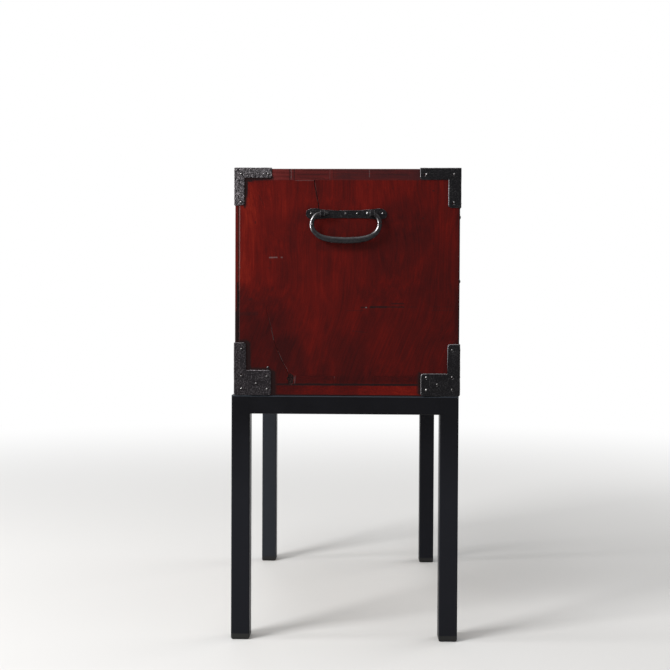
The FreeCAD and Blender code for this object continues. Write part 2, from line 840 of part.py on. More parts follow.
def drawer_pulls(name, tier):
    """Two hanging pulls, each a bail in two eye posts that stand on small round plates."""
    front = place("drawer_front")
    axis_y = front - size("pull_rosette_thickness") - size("pull_eye_reach")
    level = place("tier_base") + tier * place("tier_pitch") + size("runner_gap") + place("drawer_height") / 2
    post = post_shape("pull", size("pull_rosette_thickness") + size("front_thickness"), rove=True)
    rosette = rosette_shape()
    mounts = []
    for side, x_way in (("left", -1), ("right", 1)):
        centre = x_way * size("pull_offset")
        for way in (-1, 1):
            x = centre + way * size("pull_post_offset")
            mounts.append(placed(post, (x, axis_y, level)))
            mounts.append(placed(rosette, (x, front - size("pull_rosette_thickness"), level), ALONG_Y))
        bail = solid_feature("%s_%s_bail" % (name, side), bail_shape("pull"))
        bail.Placement = FreeCAD.Placement(FreeCAD.Vector(centre, axis_y, level), FreeCAD.Rotation())
        node(bail, "%s_%s_bail" % (name, side))
    node(solid_feature(name + "_pull_mounts", Part.makeCompound(mounts)), name + "_pull_mounts")


def build_drawers():
    for tier, name in enumerate(TIERS):
        drawer_front(name + "_drawer_front", drawer_level(tier))
        drawer_box(name, drawer_level(tier))
        lock_plate(name + "_lock_plate", drawer_level(tier))
        drawer_pulls(name, tier)


# ---------------------------------------------------------------- stand

def tube(name, role, length, spot):
    """A hollow square tube with rounded edges, padded from its middle line along one axis."""
    body = doc.addObject("PartDesign::Body", name)
    locate(body, spot)
    sketch = sketch_on(body, name + "_section", role)
    centred_rectangle(sketch, "tube_size", "tube_size", "outer")
    centred_rectangle(sketch, "tube_size - 2 * tube_wall", "tube_size - 2 * tube_wall", "inner")
    run = pad(body, name + "_run", sketch, length)
    run.SideType = "Symmetric"
    doc.recompute()
    half = size("tube_size") / 2
    corners = [(a, b) for a in (-half, half) for b in (-half, half)]
    spots = {
        "XY_Plane": [(a, b, 0) for a, b in corners],
        "XZ_Plane": [(a, 0, b) for a, b in corners],
        "YZ_Plane": [(0, a, b) for a, b in corners],
    }[role]
    round_edges(body, name + "_rounds", run, edges_at(run.Shape, spots), "tube_corner")
    return body


def foot_glide(name):
    """A plastic cap with a rounded underside and a plug that fills the tube above it."""
    body = doc.addObject("PartDesign::Body", name)
    locate(body, ("(tube_size - chest_width) / 2", "case_front + tube_size / 2", "0"))
    foot = sketch_on(body, name + "_outline", "XY_Plane")
    centred_rectangle(foot, "tube_size", "tube_size", "cap")
    cap = pad(body, name + "_cap", foot, "glide_height")
    doc.recompute()
    half, tall = size("tube_size") / 2, size("glide_height")
    upright = [(a, b, tall / 2) for a in (-half, half) for b in (-half, half)]
    rounded = round_edges(body, name + "_sides", cap, edges_at(cap.Shape, upright), "tube_corner")
    doc.recompute()
    under = [
        "Edge%d" % number
        for number, edge in enumerate(rounded.Shape.Edges, start=1)
        if abs(edge.BoundBox.ZMax) < NEAR
    ]
    round_edges(body, name + "_round", rounded, under, "glide_round")
    inside = sketch_on(body, name + "_plug_outline", "XY_Plane", lift="glide_height")
    plug_width = "tube_size - 2 * tube_wall - 2 * glide_plug_gap"
    centred_rectangle(inside, plug_width, plug_width, "plug")
    pad(body, name + "_plug", inside, "glide_plug_height")
    return body


def four_corners(name, source):
    """Repeat a left front piece at the stand's other three corners."""
    back = doc.addObject("Part::Mirroring", name + "_left_back")
    back.Source = source
    back.Normal = FreeCAD.Vector(0, 1, 0)
    back.setExpression("Base.y", link("case_front + stand_depth / 2"))
    pieces = [source, back]
    for number, item in enumerate((source, back)):
        pieces.append(mirror("%s_right_%d" % (name, number), item, (1, 0, 0)))
    return node(group(name, pieces), name)


def screw_spots():
    """Give the four screws' places in the front and back rails."""
    lines = ("case_front + plinth_width / 2", "case_back - back_thickness - plinth_width / 2")
    return [(sign + "screw_offset", line) for line in lines for sign in ("-", "")]


def screw_bores(name, radius, length, level):
    return group(name, [
        rod("%s_%d" % (name, number), radius, length, (x, y, level))
        for number, (x, y) in enumerate(screw_spots())
    ])


def build_screws():
    """Wood screws that go up through the rails into the plinth."""
    screws = []
    for number, (x, y) in enumerate(screw_spots()):
        under = "stand_height - tube_wall"
        shank = rod("screw_shank_%d" % number, "screw_radius", "screw_length", (x, y, under))
        head = rod(
            "screw_head_%d" % number, "screw_head_radius", "screw_head_height",
            (x, y, under + " - screw_head_height"),
        )
        screws.append(fuse("screw_%d" % number, [shank, head]))
    node(group("stand_screws", screws), "stand_screws")


def build_stand():
    leg_length = "stand_height - glide_height"
    leg_middle = "glide_height + (%s) / 2" % leg_length
    leg = tube(
        "leg_tube", "XY_Plane", leg_length,
        ("(tube_size - chest_width) / 2", "case_front + tube_size / 2", leg_middle),
    )
    four_corners("stand_legs", leg)
    four_corners("stand_glides", foot_glide("glide"))
    line = "stand_height - tube_size / 2"
    end = tube(
        "end_rail_tube", "XZ_Plane", "stand_depth - 2 * tube_size",
        ("(tube_size - chest_width) / 2", "case_front + stand_depth / 2", line),
    )
    node(group("stand_end_rails", [end, mirror("end_rail_right", end, (1, 0, 0))]), "stand_end_rails")
    shank_holes = screw_bores(
        "rail_shank_holes", "screw_radius + screw_clearance", "2 * tube_wall", "stand_height - 2 * tube_wall"
    )
    access_holes = screw_bores("rail_access_holes", "screw_access_radius", "2 * tube_wall", "rail_level")
    long_rails = [
        tube(name, "YZ_Plane", "chest_width - 2 * tube_size", ("0", y, line))
        for name, y in (
            ("front_rail_tube", "case_front + tube_size / 2"),
            ("back_rail_tube", "case_front + stand_depth - tube_size / 2"),
        )
    ]
    rails = group("long_rail_tubes", long_rails)
    node(cut("stand_long_rails", rails, [shank_holes, access_holes]), "stand_long_rails")
    build_screws()


# ---------------------------------------------------------------- the whole object

def check_and_export():
    doc.recompute()
    for item in doc.Objects:
        if "Invalid" in item.State or "Error" in item.State:
            raise RuntimeError("failed: %s %s" % (item.Name, item.State))
    os.makedirs("parts", exist_ok=True)
    for name in node_names:
        item = doc.getObject(name)
        if item.Shape.isNull() or not item.Shape.isValid():
            raise RuntimeError("bad shape: " + item.Label)
        item.Shape.exportStep("parts/%s.step" % item.Label)
        print("%-28s %2d solids %10.1f mm3" % (item.Label, len(item.Shape.Solids), item.Shape.Volume))
    print(len(node_names), "sub-parts")


fill_sheet()
all_nail_holes, stray_nail_hole = build_nails()
all_stem_holes = handle_stem_holes()
plinth_screw_holes = screw_bores(
    "plinth_screw_holes", "screw_radius + screw_clearance", "screw_length", "stand_height"
)
build_case(all_nail_holes, stray_nail_hole, all_stem_holes, plinth_screw_holes)
build_fittings(all_nail_holes)
build_handle_plates(all_nail_holes, all_stem_holes)
build_handles()
build_drawers()
build_stand()
check_and_export()
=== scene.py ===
# %% [markdown]
# A small tansu chest on its steel stand
#
# This lesson dresses a chest whose construction is already drawn: the frame holds every board,
# plate and rail at its real place and size. Here each piece gets what the drawing leaves out:
# softened edges, cracks, hammered iron, nails that are no two alike, and worn red lacquer. The
# frame could be shown as it is, but hand work is seen in its small unevenness, so most pieces are
# remade from the frame's own shapes.

# %% Load the frame
import itertools
import json
import math
import random

import bmesh
import bpy
from mathutils import Matrix, Vector, noise


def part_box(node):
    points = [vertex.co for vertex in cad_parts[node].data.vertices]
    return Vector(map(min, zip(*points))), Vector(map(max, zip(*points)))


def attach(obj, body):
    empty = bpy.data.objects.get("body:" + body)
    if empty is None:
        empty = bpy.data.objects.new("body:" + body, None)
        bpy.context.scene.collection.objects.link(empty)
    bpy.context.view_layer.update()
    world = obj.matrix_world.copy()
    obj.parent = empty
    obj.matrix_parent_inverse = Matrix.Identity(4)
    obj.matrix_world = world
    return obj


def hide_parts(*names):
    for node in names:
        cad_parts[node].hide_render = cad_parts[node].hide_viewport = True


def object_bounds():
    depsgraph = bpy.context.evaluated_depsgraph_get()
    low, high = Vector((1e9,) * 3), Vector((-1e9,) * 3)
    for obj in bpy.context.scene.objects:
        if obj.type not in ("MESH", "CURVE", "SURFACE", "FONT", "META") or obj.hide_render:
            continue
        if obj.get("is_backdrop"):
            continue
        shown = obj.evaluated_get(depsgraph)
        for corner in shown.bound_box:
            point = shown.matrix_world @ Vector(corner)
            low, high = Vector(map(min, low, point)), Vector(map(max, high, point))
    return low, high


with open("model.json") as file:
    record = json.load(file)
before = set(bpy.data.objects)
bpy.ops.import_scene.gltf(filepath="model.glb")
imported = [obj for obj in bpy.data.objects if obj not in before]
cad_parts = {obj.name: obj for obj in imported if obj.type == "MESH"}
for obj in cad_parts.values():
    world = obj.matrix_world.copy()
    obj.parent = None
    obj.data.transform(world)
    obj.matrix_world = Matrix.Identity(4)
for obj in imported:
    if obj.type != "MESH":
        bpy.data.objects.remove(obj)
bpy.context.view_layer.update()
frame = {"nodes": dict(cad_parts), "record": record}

bodies = frame["record"]["behaviour"]["bodies"]
body_of = {node: body for body, nodes in bodies.items() for node in nodes}
chance = random.Random(11)
MM = 0.001
# The case's outer faces, its middle and the thickness of its boards, in millimetres. The back
# boards' own face lies at BACK_Y, and the other boards end at BOARDS_BACK_Y.
CASE_X, FRONT_Y, BACK_Y, FOOT_Z, TOP_Z = 227.5, -147.45, 152.55, 330.0, 633.0
BOARDS_BACK_Y, MIDDLE_Y, MIDDLE_Z, BOARD = 148.05, 2.55, 480.0, 15.0
LEFT_SKIN_X = -226.8  # what lies further out belongs to the left end's face

# %% [markdown]
# The camera
#
# A camera could be aimed with a Track To constraint. Writing its own matrix is plainer here: the
# line of sight comes from two angles, a small roll is added, and the three directions become the
# columns.

# %% Camera
camera_data = bpy.data.cameras.new("camera")
camera_data.lens = 53.39
camera_data.sensor_width = 36.0
camera = bpy.data.objects.new("camera", camera_data)
bpy.context.scene.collection.objects.link(camera)
bpy.context.scene.camera = camera
yaw, pitch, roll = 0.0242, -0.0197, 0.0047
ahead = Vector((math.cos(yaw) * math.cos(pitch), math.sin(yaw) * math.cos(pitch), math.sin(pitch)))
level = Vector((math.sin(yaw), -math.cos(yaw), 0.0))
upward = level.cross(ahead)
right = level * math.cos(roll) + upward * math.sin(roll)
up = upward * math.cos(roll) - level * math.sin(roll)
turned = Matrix((right, up, -ahead)).transposed().to_4x4()
camera.matrix_world = Matrix.Translation((-1.5556, -0.0138, 0.4375)) @ turned
print("camera at", [round(c, 3) for c in camera.matrix_world.translation])

# %% [markdown]
# Writing materials in code
#
# A material is a small net of nodes. Adding them one by one takes many lines, so each thing that
# the lesson does often gets a helper: one adds any shader node and joins or sets its inputs by
# name, one adds a sum, one mixes two colours, and the others are made from these.

# %% Helpers for nodes
def fill(tree, node, inputs):
    """Joins or sets a node's inputs, each by its name or number."""
    for key, value in inputs.items():
        if isinstance(value, bpy.types.NodeSocket):
            tree.links.new(value, node.inputs[key])
        else:
            node.inputs[key].default_value = value


def shader_node(tree, kind, inputs=None, **settings):
    """Adds a node of a kind; settings are its own choices, inputs its sockets."""
    made = tree.nodes.new("ShaderNode" + kind)
    for name, value in settings.items():
        setattr(made, name, value)
    fill(tree, made, inputs or {})
    return made


def calc(tree, operation, first, second=0.0, third=0.0):
    """One sum of the Math node; a name that ends in _CLAMP keeps the answer between 0 and 1."""
    clamp = operation.endswith("_CLAMP")
    return shader_node(tree, "Math", {0: first, 1: second, 2: third}, use_clamp=clamp,
                       operation=operation.replace("_CLAMP", "")).outputs[0]


def product(tree, *shares):
    """Shares multiplied together, so 1 only where all of them are 1."""
    total = shares[0]
    for share in shares[1:]:
        total = calc(tree, "MULTIPLY", total, share)
    return total


def sway(tree, base, figure, weight):
    """Moves base up or down with a noise, whose middle is 0.5."""
    return calc(tree, "MULTIPLY_ADD", calc(tree, "SUBTRACT", figure, 0.5), weight, base)


def run_between(tree, value, start, end, low=0.0, high=1.0, kind="LINEAR"):
    """Goes from low to high while a value goes from start to end, and stays level beyond."""
    spans = {"Value": value, "From Min": start, "From Max": end, "To Min": low, "To Max": high}
    return shader_node(tree, "MapRange", spans, interpolation_type=kind).outputs[0]


def blend_colours(tree, share, under, over):
    """Mixes two colours, each a socket or three numbers."""
    under, over = [c if isinstance(c, bpy.types.NodeSocket) else (*c, 1.0) for c in (under, over)]
    return shader_node(tree, "Mix", {0: share, 6: under, 7: over}, data_type="RGBA",
                       clamp_factor=True).outputs[2]


def ramp(tree, value, stops):
    """A colour ramp from (place, colour) stops."""
    made = shader_node(tree, "ValToRGB", {0: value})
    steps = made.color_ramp.elements
    while len(steps) < len(stops):
        steps.new(0.5)
    for step, (spot, colour) in zip(steps, stops):
        step.position = spot
        step.color = (*colour, 1.0)
    return made.outputs[0]


def grain_noise(tree, spot, stretch, detail=4.0, roughness=0.55):
    """Noise read at a place in millimetres; stretch is how many features fit in one millimetre."""
    placed = shader_node(tree, "Mapping", {"Vector": spot, "Scale": stretch})
    return shader_node(tree, "TexNoise", {"Vector": placed.outputs[0], "Scale": 1.0, "Detail": detail,
                                          "Roughness": roughness, "Distortion": 0.0}).outputs["Fac"]


def split(tree, spot):
    return shader_node(tree, "SeparateXYZ", {0: spot}).outputs


def stored(tree, name):
    """Reads a number that the mesh keeps for its faces or corners."""
    return shader_node(tree, "Attribute", attribute_name=name).outputs["Fac"]


def looked_at(tree):
    """1 for a ray from the camera, a gloss or a glass, and 0 for one that only gathers light."""
    seen = shader_node(tree, "LightPath").outputs
    either = calc(tree, "MAXIMUM", seen["Is Camera Ray"], seen["Is Glossy Ray"])
    return calc(tree, "MAXIMUM", either, seen["Is Transmission Ray"])


def empty_tree(owner):
    """Turns on a material's or a world's nodes and clears them."""
    owner.use_nodes = True
    owner.node_tree.nodes.clear()
    return owner.node_tree


def new_material(name):
    """A material with its tree, its shader and the surface point in millimetres."""
    material = bpy.data.materials.new(name)
    tree = empty_tree(material)
    surface = shader_node(tree, "BsdfPrincipled")
    output = shader_node(tree, "OutputMaterial", {"Surface": surface.outputs[0]})
    output.is_active_output = True
    where = shader_node(tree, "TexCoord").outputs["Object"]
    spot = shader_node(tree, "VectorMath", {0: where, "Scale": 1000.0}, operation="SCALE")
    return material, tree, surface, spot.outputs[0]


def set_bump(tree, surface, height, depth_mm, strength=1.0):
    made = shader_node(tree, "Bump", {"Height": height, "Distance": depth_mm * MM,
                                      "Strength": strength})
    fill(tree, surface, {"Normal": made.outputs[0]})


print("helpers ready")

# %% [markdown]
# Light, sky and floor
#
# The chest stands by tall windows in a pale room. One lamp would make hard shadows, so there are
# five broad ones: a window off the back corner, another low beside it, the ceiling, and two weak
# ones for the walls in front and to the right. The sky is plain white where the camera, a gloss or
# a glass looks at it, and weaker where it lights the chest, so white stays in the background and
# the colours keep their strength. The floor catches the shadow near the stand and fades to the same
# white further out.

# %% Sky
scene = bpy.context.scene
scene.view_settings.view_transform = "Standard"
scene.world = bpy.data.worlds.new("pale_room")
sky = empty_tree(scene.world)
ROOM_LIGHT = 0.50
strength = calc(sky, "MULTIPLY_ADD", looked_at(sky), 1.0 - ROOM_LIGHT, ROOM_LIGHT)
white = shader_node(sky, "Background", {"Color": (1.0, 1.0, 1.0, 1.0), "Strength": strength})
shader_node(sky, "OutputWorld", {"Surface": white.outputs[0]})
print("sky lights at", ROOM_LIGHT)

# %% Lamps
def add_lamp(name, place, aim, watts, width, height):
    """A broad rectangle of light at a place, turned towards its aim."""
    data = bpy.data.lights.new(name, "AREA")
    data.shape = "RECTANGLE"
    data.energy = watts
    data.size, data.size_y = width, height
    lamp = bpy.data.objects.new(name, data)
    lamp.location = place
    lamp.rotation_euler = (Vector(aim) - Vector(place)).to_track_quat("-Z", "Y").to_euler()
    scene.collection.objects.link(lamp)
    print(name, watts, "W")


add_lamp("window", (-1.25, 1.60, 1.60), (-0.15, 0.0, 0.45), 42.0, 0.70, 0.70)
add_lamp("side_window", (-0.35, 2.40, 0.66), (-0.22, 0.0, 0.50), 24.0, 0.35, 0.90)
add_lamp("ceiling", (-0.50, 0.40, 2.35), (-0.10, 0.0, 0.50), 9.0, 0.80, 0.80)
add_lamp("front_fill", (0.9, -2.2, 1.3), (0.0, 0.0, 0.40), 19.0, 1.60, 1.60)
add_lamp("right_fill", (2.3, 0.5, 1.4), (0.0, 0.0, 0.40), 10.0, 1.40, 1.40)

# %% Floor
floor_mesh = bpy.data.meshes.new("floor")
bm = bmesh.new()
bmesh.ops.create_circle(bm, cap_ends=True, radius=14.0, segments=96)
bm.to_mesh(floor_mesh)
bm.free()
floor = bpy.data.objects.new("floor", floor_mesh)
scene.collection.objects.link(floor)
floor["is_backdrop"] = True

floor_paint = bpy.data.materials.new("pale_floor")
tree = empty_tree(floor_paint)
where = shader_node(tree, "TexCoord").outputs["Object"]
reach = shader_node(tree, "VectorMath", {0: where}, operation="LENGTH").outputs["Value"]
far = run_between(tree, reach, 0.55, 2.6, kind="SMOOTHSTEP")
matt = shader_node(tree, "BsdfDiffuse", {"Color": (0.66, 0.655, 0.645, 1.0)})
glow = shader_node(tree, "Emission", {"Color": (1.0, 1.0, 1.0, 1.0), "Strength": 1.0})
both = shader_node(tree, "MixShader", {0: product(tree, far, looked_at(tree)),
                                       1: matt.outputs[0], 2: glow.outputs[0]})
shader_node(tree, "OutputMaterial", {"Surface": both.outputs[0]})
floor_mesh.materials.append(floor_paint)
print("floor is", round(floor.dimensions.x, 1), "m across")

# %% [markdown]
# Marks of use, with painted shade and painted highlight
#
# Scratches and dust lines lie at known places on the end of the chest, and so do a few painted
# lines of shade and highlight along its joints and edges. They could be painted by hand on a picture,
# but a line between two points is easy to write as a sum: the distance from the surface point to the
# nearest point of the line, faded at the line's width. A node group holds that sum, and a list of
# marks calls it once for each.

# %% A node group for one stroke
stroke_tree = bpy.data.node_groups.new("stroke", "ShaderNodeTree")
for name, kind in (("Spot", "Vector"), ("Start", "Vector"), ("Run", "Vector"), ("Shrink", "Float"),
                   ("Half Width", "Float"), ("Depth", "Float")):
    stroke_tree.interface.new_socket(name, in_out="INPUT", socket_type="NodeSocket" + kind)
stroke_tree.interface.new_socket("Mask", in_out="OUTPUT", socket_type="NodeSocketFloat")
given = stroke_tree.nodes.new("NodeGroupInput").outputs
offset = shader_node(stroke_tree, "VectorMath", {0: given["Spot"], 1: given["Start"]},
                     operation="SUBTRACT")
along = shader_node(stroke_tree, "VectorMath", {0: offset.outputs[0], 1: given["Run"]},
                    operation="DOT_PRODUCT")
share = calc(stroke_tree, "MULTIPLY_CLAMP", along.outputs["Value"], given["Shrink"])
nearest = shader_node(stroke_tree, "VectorMath", {0: given["Run"], "Scale": share}, operation="SCALE")
gap = shader_node(stroke_tree, "VectorMath", {0: offset.outputs[0], 1: nearest.outputs[0]},
                  operation="DISTANCE").outputs["Value"]
worn = calc(stroke_tree, "DIVIDE", gap, given["Half Width"])
soft = run_between(stroke_tree, worn, 1.25, 0.35, kind="SMOOTHSTEP")
mask = calc(stroke_tree, "MULTIPLY", soft, given["Depth"])
fill(stroke_tree, stroke_tree.nodes.new("NodeGroupOutput"), {"Mask": mask})


def draw_marks(tree, flat_spot, marks):
    """The strongest of many strokes; each mark is y, z, y, z, half width, depth in millimetres."""
    total = None
    for y0, z0, y1, z1, half_width, depth in marks:
        run = Vector((0.0, y1 - y0, z1 - z0))
        inputs = {"Spot": flat_spot, "Start": (0.0, y0, z0), "Run": run, "Half Width": half_width,
                  "Shrink": 1.0 / max(run.length_squared, 0.01), "Depth": depth}
        one = shader_node(tree, "Group", inputs, node_tree=stroke_tree).outputs[0]
        total = one if total is None else calc(tree, "MAXIMUM", total, one)
    return total


# The strokes along z 344.6 (the joint above the plinth) and y 148 (the gap at the back joint) are
# painted shade, and the one along y -147 is painted shade on an edge worn dark; the others are
# scratches, dents and streaks.
DARK_MARKS = (
    (-28.7, 448.9, -50.0, 449.0, 1.5, 1.0), (-50.0, 449.0, -73.3, 449.1, 1.0, 0.85),
    (-57.3, 453.6, -73.3, 453.6, 1.0, 0.8), (-16.3, 448.3, -24.3, 448.4, 1.0, 0.85),
    (2.4, 444.0, -20.3, 444.1, 0.5, 0.55), (-78.7, 449.1, -90.2, 449.2, 0.55, 0.5),
    (-110.5, 449.4, -139.1, 449.5, 0.5, 0.4), (-110.5, 445.0, -139.1, 445.1, 0.5, 0.4),
    (121.3, 597.9, 114.1, 584.1, 0.6, 0.4), (144.4, 439.3, 123.9, 439.4, 3.0, 0.35),
    (-4.4, 416.9, -24.4, 414.8, 0.9, 0.35), (125.5, 562.3, 125.5, 560.5, 1.2, 0.6),
    (-111.1, 604.1, -112.6, 604.0, 1.1, 0.75), (-57.5, 607.7, -57.5, 606.5, 0.8, 0.6),
    (-24.6, 611.9, -25.5, 611.0, 0.8, 0.45), (-98.0, 567.5, -99.0, 567.0, 1.2, 0.55),
    (-111.5, 533.7, -112.5, 533.5, 1.0, 0.45), (133.2, 458.4, 131.0, 459.0, 2.0, 0.45),
    (107.9, 500.6, 106.8, 500.2, 1.0, 0.4), (100.0, 344.6, 60.0, 344.6, 1.9, 1.0),
    (60.0, 344.6, -100.0, 344.8, 1.8, 1.6), (76.0, 618.5, 73.7, 632.6, 1.1, 0.6),
    (148.2, 583.0, 148.2, 470.0, 0.9, 0.7), (148.0, 470.0, 147.6, 401.0, 1.8, 1.0),
    (-147.2, 583.0, -147.0, 401.0, 1.4, 1.0), (79.8, 618.5, 79.6, 632.6, 1.2, 0.7),
    (21.5, 621.0, 21.0, 631.0, 1.0, 0.35), (105.8, 510.2, 104.9, 506.6, 0.8, 0.35))
# The three strokes along y 146.5 are a painted highlight on the rounded back edge of the end board;
# the others are pale scratches and dust.
PALE_MARKS = (
    (106.3, 514.5, 96.6, 514.7, 1.1, 0.30), (90.6, 514.8, 89.6, 514.8, 1.1, 0.28),
    (-22.8, 448.1, -23.4, 448.2, 0.9, 0.6), (103.6, 420.5, 100.6, 404.5, 0.6, 0.25),
    (94.9, 389.5, 88.9, 376.0, 0.6, 0.3), (88.0, 374.0, 82.8, 365.5, 0.5, 0.25),
    (82.0, 364.0, 80.4, 357.5, 0.5, 0.25), (72.7, 617.2, 48.0, 617.4, 0.55, 0.16),
    (71.3, 356.2, 72.2, 346.4, 0.5, 0.3), (19.0, 355.4, 20.4, 346.7, 0.5, 0.3),
    (146.5, 583.0, 146.4, 500.0, 0.42, 0.62), (146.4, 500.0, 146.5, 470.0, 0.40, 0.30),
    (146.5, 470.0, 146.6, 402.0, 0.40, 0.12), (46.3, 614.0, 44.4, 602.0, 0.9, 0.13),
    (44.4, 602.0, 42.6, 590.0, 0.7, 0.10), (107.4, 434.0, 103.6, 420.5, 0.5, 0.15))
# The last stroke is painted shade along the joint above the plinth; the others are streaks in the top
# strip.
TOP_DARK_MARKS = (
    (73.7, 618.5, 73.7, 632.6, 1.1, 0.7), (80.2, 618.5, 80.0, 632.6, 0.9, 0.8),
    (60.0, 630.2, 28.0, 630.4, 0.6, 0.5), (70.0, 625.0, 30.0, 625.6, 0.9, 0.45),
    (66.0, 620.6, 34.0, 620.4, 0.8, 0.4), (-30.0, 626.0, -76.0, 625.4, 1.0, 0.4),
    (-30.0, 630.6, -60.0, 630.8, 0.7, 0.4), (100.0, 344.8, -100.0, 345.0, 1.5, 1.5))
TOP_PALE_MARKS = (
    (78.3, 618.8, 78.0, 632.6, 0.65, 0.55), (26.0, 620.0, 25.8, 632.0, 0.7, 0.22),
    (-26.5, 622.0, -26.6, 631.0, 0.6, 0.2))
BACK_DARK_MARKS = (
    (150.4, 440.0, 150.4, 401.0, 3.6, 1.3), (149.0, 480.0, 149.2, 440.0, 1.4, 1.0))
print(len(DARK_MARKS), "dark marks,", len(PALE_MARKS), "pale marks")

# %% [markdown]
# Worn red lacquer
#
# The boards are softwood under many thin coats of red lacquer, rubbed dark along the fibres and
# brighter where it has worn thin. One colour could stand for it, but then the boards look like
# plastic. Here noise drawn out along the grain makes the fibres, a broader one the growth bands, a
# round one the clouds, and their sum picks a red from a ramp. The inside of the case is bare, so
# the same material turns to pale wood there, from the place alone.

# %% Colours of the lacquer and of bare wood
LACQUER_REDS = (
    (0.00, (0.020, 0.0028, 0.0032)), (0.30, (0.046, 0.0036, 0.0034)),
    (0.50, (0.072, 0.0042, 0.0034)), (0.68, (0.100, 0.0055, 0.0038)),
    (0.85, (0.142, 0.0095, 0.0050)), (1.00, (0.200, 0.0200, 0.0090)))
END_GRAIN_REDS = ((0.30, (0.026, 0.0105, 0.012)), (0.55, (0.064, 0.0115, 0.0115)),
                  (0.75, (0.115, 0.021, 0.020)))
WOOD_TONES = ((0.25, (0.30, 0.185, 0.098)), (0.50, (0.44, 0.300, 0.170)),
              (0.75, (0.56, 0.415, 0.258)))
CUT_DUST = (0.0125, 0.0085, 0.0085)
# The colour of pale dust, also used for the painted highlight on the back edge.
PALE_DUST_AND_HIGHLIGHT = (0.195, 0.183, 0.185)


def wood_figure(tree, spot, grain):
    """Fibres, growth bands and clouds of a board whose grain runs along x or z."""
    wander = grain_noise(tree, spot, (0.006,) * 3, detail=1.0)
    push = calc(tree, "MULTIPLY_ADD", wander, 60.0, -30.0)
    shift = shader_node(tree, "CombineXYZ", {"X": push, "Y": push,
                                             "Z": push if grain == "x" else 0.0}).outputs[0]
    bent = shader_node(tree, "VectorMath", {0: spot, 1: shift}, operation="ADD").outputs[0]
    fibres, bands = (0.012, 0.42, 0.42), (0.0035, 0.055, 0.34)
    if grain == "z":
        fibres, bands = fibres[::-1], bands[::-1]
    return (grain_noise(tree, bent, fibres, detail=5.0, roughness=0.62),
            grain_noise(tree, bent, bands, detail=3.0, roughness=0.6),
            grain_noise(tree, spot, (0.014, 0.014, 0.010), roughness=0.6))


def inside_case(tree, axes):
    """1 on the faces that look into the case, its plinth and its drawers, 0 on the outside."""
    return product(tree,
                   calc(tree, "LESS_THAN", calc(tree, "ABSOLUTE", axes["X"]), CASE_X - BOARD + 0.2),
                   calc(tree, "GREATER_THAN", axes["Y"], FRONT_Y + 2.25),
                   calc(tree, "LESS_THAN", axes["Y"], BOARDS_BACK_Y + 0.25),
                   calc(tree, "LESS_THAN", axes["Z"], TOP_Z - BOARD + 0.2))


def in_keyway(tree, axes):
    """1 in the bores for the keys, which go through the middle of each drawer front."""
    narrow = calc(tree, "LESS_THAN", calc(tree, "ABSOLUTE", axes["X"]), 3.0)
    return product(tree, narrow, calc(tree, "COMPARE", axes["Y"], -141.8, 5.3))


def leaning(tree, spot, axes):
    """Where the left end's fibres are read, so that they lean towards the back near its foot."""
    lean = run_between(tree, axes["Z"], 470.0, 330.0, 0.0, -38.0, kind="SMOOTHSTEP")
    lean = shader_node(tree, "CombineXYZ", {"Y": lean}).outputs[0]
    return shader_node(tree, "VectorMath", {0: spot, 1: lean}, operation="ADD").outputs[0]


def add_marks(tree, spot, axes, red, dark_marks, pale_marks):
    """Draws the marks on the left end's face, painted shade and highlight among them, with lines a
    little shaken and broken up.
    """
    shake = calc(tree, "MULTIPLY_ADD", grain_noise(tree, spot, (0.22,) * 3, detail=2.0), 2.4, -1.2)
    shaken = {axis: calc(tree, "MULTIPLY_ADD", shake, share, axes[axis])
              for axis, share in (("Y", 0.3), ("Z", 0.6))}
    flat = shader_node(tree, "CombineXYZ", shaken).outputs[0]
    outer = calc(tree, "LESS_THAN", axes["X"], LEFT_SKIN_X)
    broken = calc(tree, "MULTIPLY_ADD_CLAMP", grain_noise(tree, spot, (0.5,) * 3), 2.6, -0.25)
    # Dark is the dark marks joined with the grime and painted shadow round the fittings.
    dark = calc(tree, "MAXIMUM", draw_marks(tree, flat, dark_marks), stored(tree, "grime_and_shadow"))
    dark = product(tree, dark, outer, broken)
    # A dark band along the foot just above the stand, and painted shade on the front edge, which
    # faces away from the windows, over an edge worn dark.
    above_stand = product(tree, calc(tree, "COMPARE", axes["Z"], FOOT_Z + 0.5, 0.9), 0.85)
    front_arris = product(tree, calc(tree, "LESS_THAN", axes["Y"], FRONT_Y + 1.25),
                          calc(tree, "LESS_THAN", axes["X"], 1.2 - CASE_X))
    for more in (above_stand, front_arris):
        dark = calc(tree, "MAXIMUM", dark, more)
    red = blend_colours(tree, dark, red, (0.0055, 0.0055, 0.0060))
    # The pale marks hold the painted highlight on the back edge as well as pale dust.
    if pale_marks:
        pale = product(tree, draw_marks(tree, flat, pale_marks), outer, broken)
        red = blend_colours(tree, pale, red, PALE_DUST_AND_HIGHLIGHT)
    return red


